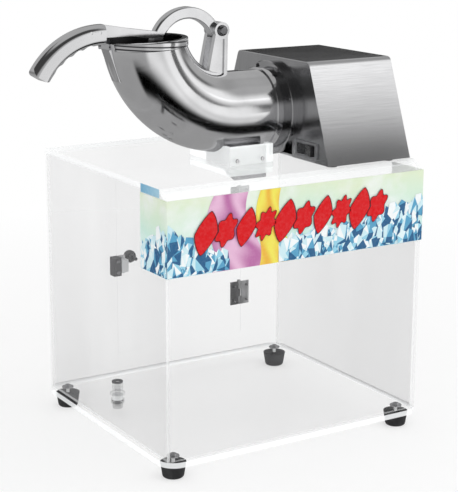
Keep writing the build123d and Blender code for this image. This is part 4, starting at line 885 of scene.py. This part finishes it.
@dataclass
class PrintedBand:
    """Generic frosty print on the band: ice shards, two soft ribbons and slanted red flakes."""

    seed: int = 11
    ribbons: tuple[Ribbon, ...] = (
        Ribbon("print_ribbon_berry", 0.103, 0.082, 0.010, (0.52, 0.17, 0.40),
               (0.84, 0.52, 0.72), 0.00030),
        Ribbon("print_ribbon_lemon", 0.166, 0.050, 0.007, (0.88, 0.50, 0.06),
               (0.93, 0.83, 0.12), 0.00034),
    )
    heaps: tuple[Heap, ...] = (
        Heap("print_shards_left", 0.0, 0.098, (0.062, 0.010), 120),
        Heap("print_shards_corner", -0.0725, 0.0, (0.022, 0.066), 90),
        Heap("print_shards_right", 0.178, 0.4325, (0.020, 0.058), 250),
        Heap("print_shards_end", 0.4327, 0.505, (0.07, 0.02), 90),
    )
    shard_size: float = 0.0150
    first_lift: float = 0.00005
    step: float = 0.000004
    margin: float = 0.0006
    motif_count: int = 10
    motif_ends: tuple[float, float] = (0.060, 0.348)
    motif_heights: tuple[float, float] = (0.056, 0.062)
    red: Colour = (0.72, 0.004, 0.008)
    outline: Colour = (0.10, 0.008, 0.015)
    outline_w: float = 0.0012
    outline_lift: float = 0.0014
    motif_lift: float = 0.00145
    film_tones: tuple[Colour, Colour] = ((0.20, 0.46, 0.66), (0.42, 0.66, 0.80))
    film_x: float = -0.16155
    film_y: tuple[float, float] = (-0.123, -0.175)
    film_z: tuple[float, float] = (0.3995, 0.4115)

    def __post_init__(self) -> None:
        """Reads the band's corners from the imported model."""
        low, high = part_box("sign_panel")
        self.x0, self.x1 = low[0], high[0]
        self.y0, self.y1 = low[1], high[1]
        self.z0, self.z1 = low[2], high[2]
        self.rng = np.random.default_rng(self.seed)

    def wrapped(self, along: np.ndarray, up: np.ndarray, lift: np.ndarray) -> np.ndarray:
        """Wraps flat points round the band.

        The first coordinate is the way along the band from the front left corner: under 0 it
        runs back along the left side, and past the front's width back along the right side.

        Args:
            along: distance along the band.
            up: height above its lower edge.
            lift: distance out from its face.

        Returns:
            Points in space.
        """
        width = self.x1 - self.x0
        left = along < 0
        right = along > width
        x = np.where(left, self.x0 - lift, np.where(right, self.x1 + lift, self.x0 + along))
        y = np.where(left, self.y0 - along, np.where(right, self.y0 + along - width,
                                                     self.y0 - lift))
        return np.stack([x, y, self.z0 + up], axis=-1)

    def shards(self, heap: Heap) -> Piece:
        """A heap of faceted shards, each a fan of triangles round an off-centre point.

        Corner k of a shard lies at centre + size * r_k * (cos a_k, sin a_k), with a_k evenly
        spaced and jittered, and squeezed inwards at the band's edges.

        Args:
            heap: its name, place and count.

        Returns:
            The piece.
        """
        rng, corners, count = self.rng, SHARD_CORNERS, heap.count
        t = np.sort(rng.random(count))
        rng.shuffle(t)
        reach = heap.heights[0] + (heap.heights[1] - heap.heights[0]) * t
        middle = np.stack([heap.start + (heap.end - heap.start) * t,
                           reach * rng.random(count) ** 1.3], axis=1)
        grow = self.shard_size * (0.45 + 0.8 * rng.random(count))
        turn = rng.random(count) * math.tau
        angles = (np.arange(corners) / corners * math.tau + turn[:, None]
                  + 0.35 * rng.standard_normal((count, corners)) / corners * 2)
        radius = grow[:, None] * (0.55 + 0.6 * rng.random((count, corners)))
        rim = middle[:, None, :] + np.stack([radius * np.cos(angles) * 0.8,
                                             radius * np.sin(angles) * 1.25], axis=-1)
        hub = middle + 0.25 * grow[:, None] * rng.standard_normal((count, 2))
        flat = np.concatenate([hub[:, None, :], rim], axis=1)
        flat[..., 0] = np.clip(flat[..., 0], heap.start, heap.end)
        flat[..., 1] = np.clip(flat[..., 1], self.margin, self.z1 - self.z0 - self.margin)
        lift = self.first_lift + self.step * np.arange(count)[:, None] * np.ones((1, corners + 1))
        points = self.wrapped(flat[..., 0], flat[..., 1], lift).reshape(-1, 3)
        facing = 0.5 + 0.5 * np.cos(angles - 2.2)
        pick = np.clip(facing * 4.4 + rng.standard_normal((count, corners)) * 0.9, 0,
                       len(SHARD_TONES) - 1)
        inks = SHARD_TONES[pick.astype(int)].reshape(-1, 3)
        return mesh_piece(heap.name, points, fan_faces(count, corners), inks)

    def ribbon(self, ribbon: Ribbon) -> Piece:
        """A soft ribbon that winds up the band.

        Its point (u, v) lies at centre + sway * sin(5 u + 1) + width * v * (1 - u / 3), at
        height u; its shade swings between the two colours as cos(9 v + 4 u).

        Args:
            ribbon: its name, place and colours.

        Returns:
            The piece.
        """
        rows, columns = 90, 36
        u = np.linspace(0.0, 1.0, rows)[:, None]
        v = np.linspace(-0.5, 0.5, columns)[None, :]
        along = (ribbon.centre + ribbon.sway * np.sin(5 * u + 1)
                 + ribbon.width * v * (1 - u / 3))
        up = u * (self.z1 - self.z0) * np.ones_like(v)
        points = self.wrapped(along, up, np.full_like(along, ribbon.lift)).reshape(-1, 3)
        faces = grid_faces(rows, columns)[:, ::-1]
        swing = 0.5 + 0.5 * np.cos(9 * v + 4 * u + 0.8 * np.sin(14 * u + 6 * v))
        mix = swing[:-1, :-1].reshape(-1, 1)
        inks = np.array(ribbon.dark) * (1 - mix) + np.array(ribbon.light) * mix
        return mesh_piece(ribbon.name, points, faces, inks)

    def motif(self, centre: tuple[float, float], size: tuple[float, float], arms: int,
              grow: float) -> np.ndarray:
        """Rim of a slanted lozenge, or of a flake where it has arms.

        The rim at angle a has radius (|cos a| ** 1.3 + |sin a| ** 1.3) ** (-1 / 1.3) for the
        lozenge, and 0.86 + 0.14 * cos(arms * a) for the flake, stretched to the half sizes and
        leaned to the right.

        Args:
            centre: its middle along the band and above its lower edge.
            size: half its width and height.
            arms: number of points, or 0 for the lozenge.
            grow: added all round.

        Returns:
            The rim's points.
        """
        angle = np.linspace(0.0, math.tau, 96, endpoint=False)
        c, s = np.cos(angle), np.sin(angle)
        power = LOZENGE_POWER
        lozenge = (np.abs(c) ** power + np.abs(s) ** power) ** (-1 / power)
        radius = 0.86 + 0.14 * np.cos(arms * (angle - math.tau / 4)) if arms else lozenge
        across = radius * c * size[0] + grow * c
        up = radius * s * size[1] + grow * s
        return np.stack([centre[0] + across + 0.3 * up, centre[1] + up], axis=1)

    def motifs(self, name: str, grow: float, lift: float, colour: Colour) -> Piece:
        """The row of flakes and lozenges.

        Args:
            name: the piece's name.
            grow: added round each motif.
            lift: distance out from the band's face.
            colour: their colour.

        Returns:
            The piece.
        """
        count = self.motif_count
        along = np.linspace(*self.motif_ends, count)
        middle = np.linspace(*self.motif_heights, count)
        rims = np.stack([self.motif((x, z), *MOTIF_KINDS[i % len(MOTIF_KINDS)], grow)
                         for i, (x, z) in enumerate(zip(along, middle))])
        hubs = rims.mean(axis=1, keepdims=True)
        flat = np.concatenate([hubs, rims], axis=1)
        points = self.wrapped(flat[..., 0], flat[..., 1], np.full(flat.shape[:2], lift))
        faces = fan_faces(count, rims.shape[1])
        return mesh_piece(name, points.reshape(-1, 3), faces, np.tile(colour, (len(faces), 1)))

    def corner_film(self) -> Piece:
        """Blue film on the cabinet's left wall, beside the leaning strip.

        Its points are a bilinear patch over the film's four corners, shaded from end to end.

        Returns:
            The piece.
        """
        rows, columns = 13, 5
        u, v = np.meshgrid(np.linspace(0.0, 1.0, rows), np.linspace(0.0, 1.0, columns),
                           indexing="ij")
        y = self.film_y[0] + (self.film_y[1] - self.film_y[0]) * u
        z = self.film_z[0] + (self.film_z[1] - self.film_z[0]) * v
        points = np.stack([np.full_like(y, self.film_x), y, z], axis=-1).reshape(-1, 3)
        mix = u[:-1, :-1].reshape(-1, 1)
        front, back = np.array(self.film_tones)
        inks = front * (1 - mix) + back * mix
        return mesh_piece("print_corner_film", points, grid_faces(rows, columns), inks)

    def build(self, library: dict[str, Material]) -> None:
        """Prints the band: ribbons first, then shards, then the flakes on top.

        Args:
            library: the materials by name.
        """
        made = [self.ribbon(ribbon) for ribbon in self.ribbons]
        made.append(self.corner_film())
        made += [self.shards(heap) for heap in self.heaps]
        made.append(self.motifs("print_motif_outlines", self.outline_w, self.outline_lift,
                                self.outline))
        made.append(self.motifs("print_motifs", 0.0, self.motif_lift, self.red))
        for piece in made:
            piece.data.materials.append(library["print_ink"])
            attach(piece, "cabinet")
            LOG.info("printed %s, %d faces", piece.name, len(piece.data.polygons))


# ---- what metal mirrors
def glow_material(name: str) -> Material:
    """Light whose level comes from the piece's colour attribute.

    Args:
        name: the material's name.

    Returns:
        The material.
    """
    g = NodeGraph(name)
    shade = g.add("VertexColor")
    shade.layer_name = "level"
    glow = g.add("Emission")
    g.tree.links.new(shade.outputs["Color"], glow.inputs["Color"])
    g.tree.links.new(glow.outputs[0], g.output.inputs["Surface"])
    return g.material


def mirrored_only(name: str, points: np.ndarray, faces: np.ndarray, level: np.ndarray) -> None:
    """Makes a stage piece that only shows in shiny surfaces.

    Args:
        name: its name.
        points: one row of x, y, z for each point.
        faces: one row of indices for each face.
        level: light at each point.
    """
    piece = mesh_piece(name, points, faces)
    layer = piece.data.color_attributes.new("level", "FLOAT_COLOR", "POINT")
    full = np.repeat(level.ravel()[:, None], 4, axis=1)
    full[:, 3] = 1.0
    layer.data.foreach_set("color", full.astype(np.float32).ravel())
    piece.data.materials.append(glow_material(name))
    piece.visible_camera = False
    piece.visible_diffuse = False
    piece.visible_transmission = False
    piece.visible_shadow = False
    LOG.info("staged %s", name)


@dataclass(frozen=True)
class Card:
    """A flat reflector close to the object, its light given from its foot to its top."""

    name: str
    centre: tuple[float, float, float]
    across: tuple[float, float, float]
    rise: tuple[float, float, float]
    levels: tuple[float, ...]

    def build(self) -> None:
        """Makes the card: a sheet at centre + s * across + t * rise."""
        rows = len(self.levels)
        s, t = np.meshgrid(np.linspace(-0.5, 0.5, 2), np.linspace(-0.5, 0.5, rows))
        points = (np.array(self.centre) + s[..., None] * np.array(self.across)
                  + t[..., None] * np.array(self.rise)).reshape(-1, 3)
        level = np.repeat(np.array(self.levels)[:, None], 2, axis=1)
        mirrored_only(self.name, points, grid_faces(rows, 2), level)


@dataclass(frozen=True)
class Panel:
    """A soft-edged panel of the tent, in degrees: bearing from the front, and height."""

    bearing: float
    height: float
    half_bearing: float
    half_height: float
    soft: float
    level: float

    def lay(self, bearing: np.ndarray, height: np.ndarray, level: np.ndarray) -> np.ndarray:
        """Lays the panel over the tent's light.

        Args:
            bearing: bearing of each point.
            height: height of each point.
            level: light so far.

        Returns:
            Light with the panel: smoothstep weights across its edges blend towards its level.
        """
        turn = np.abs((bearing - self.bearing + 180.0) % 360.0 - 180.0)
        far_b = np.clip((self.half_bearing + self.soft - turn) / (2 * self.soft), 0.0, 1.0)
        far_h = np.clip((self.half_height + self.soft - np.abs(height - self.height))
                        / (2 * self.soft), 0.0, 1.0)
        weight = (far_b ** 2 * (3 - 2 * far_b)) * (far_h ** 2 * (3 - 2 * far_h))
        return level + (self.level - level) * weight


@dataclass(frozen=True)
class Tent:
    """Round tent of light and dark panels, mirrored in the metal."""

    radius: float = 12.0
    low_level: float = 0.34
    high_level: float = 0.42
    level_from: float = -24.0
    level_over: float = 12.0
    panels: tuple[Panel, ...] = (
        Panel(48.0, 10.0, 25.0, 29.0, 7.0, 0.95),
        Panel(4.0, -13.0, 26.0, 7.0, 7.0, 0.86),
        Panel(-2.0, -38.5, 62.0, 11.5, 5.0, 0.0),
        Panel(80.0, 20.0, 4.0, 12.0, 6.0, 0.06),
        Panel(97.0, 5.0, 14.0, 3.0, 6.0, 0.03),
        Panel(95.0, 48.0, 24.0, 10.0, 8.0, 0.34),
        Panel(-15.0, 40.0, 48.0, 22.0, 8.0, 0.05),
        Panel(32.0, -14.0, 8.0, 5.0, 5.0, 0.68),
        Panel(-105.0, 45.0, 50.0, 18.0, 8.0, 0.05),
        Panel(149.0, 13.0, 12.0, 9.0, 6.0, 0.22),
        Panel(-149.0, -14.0, 18.0, 9.0, 6.0, 0.22),
    )

    def build(self) -> None:
        """Makes the tent: a sphere over bearing and height.

        A point at bearing b and height h lies at radius * (sin b cos h, -cos b cos h, sin h).
        """
        rows, columns = 90, 181
        h, b = np.meshgrid(np.linspace(-90.0, 90.0, rows), np.linspace(-180.0, 180.0, columns),
                           indexing="ij")
        rise = np.clip((h - self.level_from) / self.level_over, 0, 1)
        level = self.low_level + (self.high_level - self.low_level) * rise
        for panel in self.panels:
            level = panel.lay(b, h, level)
        bearing, height = np.radians(b), np.radians(h)
        points = self.radius * np.stack([np.sin(bearing) * np.cos(height),
                                         -np.cos(bearing) * np.cos(height), np.sin(height)],
                                        axis=-1)
        mirrored_only("studio_tent", points.reshape(-1, 3), grid_faces(rows, columns), level)


# ---- studio
def seen_rays(tree: bpy.types.NodeTree) -> Socket:
    """1 for what the camera sees, straight, mirrored or through something clear, else 0.

    Args:
        tree: the node tree to add it to.

    Returns:
        The mask.
    """
    path = tree.nodes.new("ShaderNodeLightPath")
    seen = path.outputs["Is Camera Ray"]
    for ray in ("Is Glossy Ray", "Is Transmission Ray"):
        either = tree.nodes.new("ShaderNodeMath")
        either.operation = "MAXIMUM"
        tree.links.new(seen, either.inputs[0])
        tree.links.new(path.outputs[ray], either.inputs[1])
        seen = either.outputs[0]
    return seen


@dataclass(frozen=True)
class Lamp:
    """A square soft lamp that looks at the object."""

    name: str
    place: tuple[float, float, float]
    size: float
    watts: float
    aim: tuple[float, float, float] = (0.0, 0.0, 0.3)

    def build(self) -> None:
        """Hangs the lamp; shiny metal mirrors the tent in its place."""
        data = bpy.data.lights.new(self.name, "AREA")
        data.size = self.size
        data.energy = self.watts
        lamp = bpy.data.objects.new(self.name, data)
        bpy.context.scene.collection.objects.link(lamp)
        lamp.location = self.place
        lamp.visible_glossy = False
        lamp.rotation_mode = "QUATERNION"
        lamp.rotation_quaternion = (Vector(self.aim) - Vector(self.place)).to_track_quat("-Z", "Y")
        LOG.info("hung %s", self.name)


@dataclass
class Studio:
    """White floor, soft world light, three soft lamps and what shiny metal mirrors."""

    floor_half: float = 40.0
    fade: tuple[float, float] = (0.55, 1.5)
    lift: float = 0.55
    floor_tone: float = 0.955
    world_level: float = 0.80
    lamps: tuple[Lamp, ...] = (
        Lamp("lamp_over", (0.5, -0.5, 2.3), 1.6, 9.0),
        Lamp("lamp_left", (-2.0, -1.6, 1.5), 1.2, 5.0),
        Lamp("lamp_right", (2.1, -1.5, 1.3), 1.2, 6.0),
    )
    cards: tuple[Card, ...] = (
        Card("card_slope", (0.43, -0.46, 0.625), (0.28, 0.0, 0.0), (0.0, 0.0, 0.33),
             (0.35, 0.30, 0.22, 0.10, 0.13, 0.38, 0.66, 0.78, 0.98, 1.2, 1.25)),
        Card("card_behind", (0.42, 0.5, 0.70), (0.7, 0.0, 0.0), (0.0, 0.0, 0.30),
             (0.02, 0.02, 0.02, 0.03, 0.06, 0.20, 0.36, 0.45, 0.5)),
    )

    def world(self) -> None:
        """Light from all round at one level; the camera and shiny surfaces see white."""
        world = bpy.data.worlds.new("studio")
        bpy.context.scene.world = world
        world.use_nodes = True
        tree = world.node_tree
        tree.nodes.clear()
        mix = tree.nodes.new("ShaderNodeMixShader")
        out = tree.nodes.new("ShaderNodeOutputWorld")
        tree.links.new(seen_rays(tree), mix.inputs[0])
        for strength, place in zip((self.world_level, 1.0), mix.inputs[1:]):
            light = tree.nodes.new("ShaderNodeBackground")
            light.inputs["Color"].default_value = (*WHITE, 1.0)
            light.inputs["Strength"].default_value = strength
            tree.links.new(light.outputs[0], place)
        tree.links.new(mix.outputs[0], out.inputs["Surface"])

    def floor(self) -> None:
        """White floor that turns into plain white away from the object."""
        h = self.floor_half
        points = np.array([[-h, -h, 0.0], [h, -h, 0.0], [h, h, 0.0], [-h, h, 0.0]])
        piece = mesh_piece("studio_floor", points, np.array([[0, 1, 2, 3]]))
        g = NodeGraph("studio_floor")
        length = g.add("VectorMath")
        length.operation = "LENGTH"
        g.tree.links.new(g.place, length.inputs[0])
        far = g.spread(length.outputs["Value"], self.lift, 1.0, *self.fade)
        matt = g.add("BsdfDiffuse")
        matt.inputs["Color"].default_value = (self.floor_tone,) * 3 + (1.0,)
        glow = g.add("Emission")
        mix = g.add("MixShader")
        g.tree.links.new(g.math("MULTIPLY", far, seen_rays(g.tree)), mix.inputs[0])
        g.tree.links.new(matt.outputs[0], mix.inputs[1])
        g.tree.links.new(glow.outputs[0], mix.inputs[2])
        g.tree.links.new(mix.outputs[0], g.output.inputs["Surface"])
        piece.data.materials.append(g.material)
        piece.visible_glossy = False

    def build(self) -> None:
        """Sets up the whole studio."""
        self.world()
        self.floor()
        for lamp in self.lamps:
            lamp.build()
        Tent().build()
        for card in self.cards:
            card.build()


@dataclass(frozen=True)
class PhotoCamera:
    """Camera at the photograph's viewing angle."""

    yaw: float = -0.5566126
    pitch: float = 0.2449419
    roll: float = 0.0034494
    distance: float = 2.285188
    aim: tuple[float, float, float] = (0.0536483, -0.006, 0.022)
    side: float = 0.0000439
    lift: float = 0.2412277
    focal_px: float = 1465.9665
    frame_px: float = 492.0
    sensor: float = 36.0

    def build(self) -> None:
        """Places the camera: back = (sin a cos e, -cos a cos e, sin e) from the aim point."""
        a, e = self.yaw, self.pitch
        back = Vector((math.sin(a) * math.cos(e), -math.cos(a) * math.cos(e), math.sin(e)))
        right = (-back).cross(Vector((0.0, 0.0, 1.0))).normalized()
        up = right.cross(-back)
        c, s = math.cos(self.roll), math.sin(self.roll)
        right, up = right * c + up * s, up * c - right * s
        place = Vector(self.aim) + back * self.distance + right * self.side + up * self.lift
        data = bpy.data.cameras.new("photo_camera")
        data.sensor_width = self.sensor
        data.lens = self.focal_px * self.sensor / self.frame_px
        data.clip_end = 200.0
        camera = bpy.data.objects.new("photo_camera", data)
        bpy.context.scene.collection.objects.link(camera)
        turn = Matrix((right, up, back)).transposed().to_4x4()
        camera.matrix_world = Matrix.Translation(place) @ turn
        bpy.context.scene.camera = camera


# ---- whole scene
def material_library() -> dict[str, Material]:
    """Builds every material once.

    Returns:
        The materials by name.
    """
    finishes = {
        # glow: strength of each sheet's painted edge glow
        "base_acrylic": ClearSheet(Axis.Z, 0.02, 0.60, glow=0.32, shadow=0.0),
        "front_acrylic": ClearSheet(Axis.Y, 0.035, 0.22, glow=0.15),
        "side_acrylic": ClearSheet(Axis.X, 0.115, 0.26, glow=0.15),
        "back_acrylic": ClearSheet(Axis.Y, 0.03, 0.02, glow=0.1),
        "top_acrylic": ClearSheet(Axis.Z, 0.05, 0.42, glow=0.22),
        "chute_acrylic": ClearSheet(Axis.Z, 0.20, 0.40, (0.40, 0.41, 0.42), glow=0.5),
        "clear_moulding": ClearMoulding(rim_z=0.0495),
        "frosty_ground": FrostyGround(),
        "print_ink": PrintInk(),
        "hopper_aluminium": HopperMetal(),
        "cast_aluminium": PolishedMetal(rough=(0.10, 0.16), wave=0.00003),
        # lever and pusher: painted shade below the height of the mouth
        "mouth_shaded_aluminium": MouthShadedMetal(rough=(0.10, 0.16), wave=0.00003),
        "ring_steel": LippedRing(),
        # flange's darker tone than the other polished steel is painted shade
        "shaded_flange_steel": PolishedMetal((0.60, 0.60, 0.61), (0.5, 0.5, 0.51), (0.1, 0.16), 0.00005),
        "dark_steel": PolishedMetal((0.30, 0.30, 0.31), (0.2, 0.2, 0.21), (0.2, 0.3), 0.00005),
        "chromed_steel": CHROMED,
        "plated_steel": PLATED,
        "blade_steel": PolishedMetal((0.72, 0.72, 0.74), (0.6, 0.6, 0.62), (0.14, 0.24)),
        # hinge leaves: one finish in a shaded and a lit copy, painted shade and painted light
        "shaded_hinge": Grained((0.10, 0.10, 0.105), (0.16, 0.16, 0.165), (0.35, 0.5)),
        "lit_hinge": Grained((0.42, 0.42, 0.43), (0.55, 0.55, 0.56), (0.3, 0.45)),
        "catch_plastic": TwoTonePlastic((0.06, 0.06, 0.065), (0.11, 0.11, 0.115)),
        "brushed_x": BrushedMetal(Axis.X),
        "brushed_y": BrushedMetal(Axis.Y),
        "brushed_z": BrushedMetal(Axis.Z, (0.62, 0.62, 0.63), (0.5, 0.5, 0.51)),
        "stacked_steel": StackedSteel(),
        "dark_enamel": ENAMEL,
        "foot_rubber": RUBBER,
        "black_plastic": BLACK_PLASTIC,
        "bezel_plastic": Grained((0.20, 0.20, 0.21), (0.28, 0.28, 0.29), (0.16, 0.26)),
        "grey_plastic": GREY_PLASTIC,
    }
    return {name: finish.build(name) for name, finish in finishes.items()}


def main() -> None:
    """Dresses the model, prints the band, and sets the studio and the camera."""
    logging.basicConfig(level=logging.INFO, format="%(name)s: %(message)s")
    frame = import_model()
    library = material_library()
    for assembly in (Cabinet, Door, ShavingHead, Lever, Drive, Housing):
        assembly(frame).dress(library)
    PrintedBand().build(library)
    Studio().build()
    PhotoCamera().build()
    bpy.context.scene.view_settings.view_transform = "Standard"


if __name__ == "__main__":
    main()
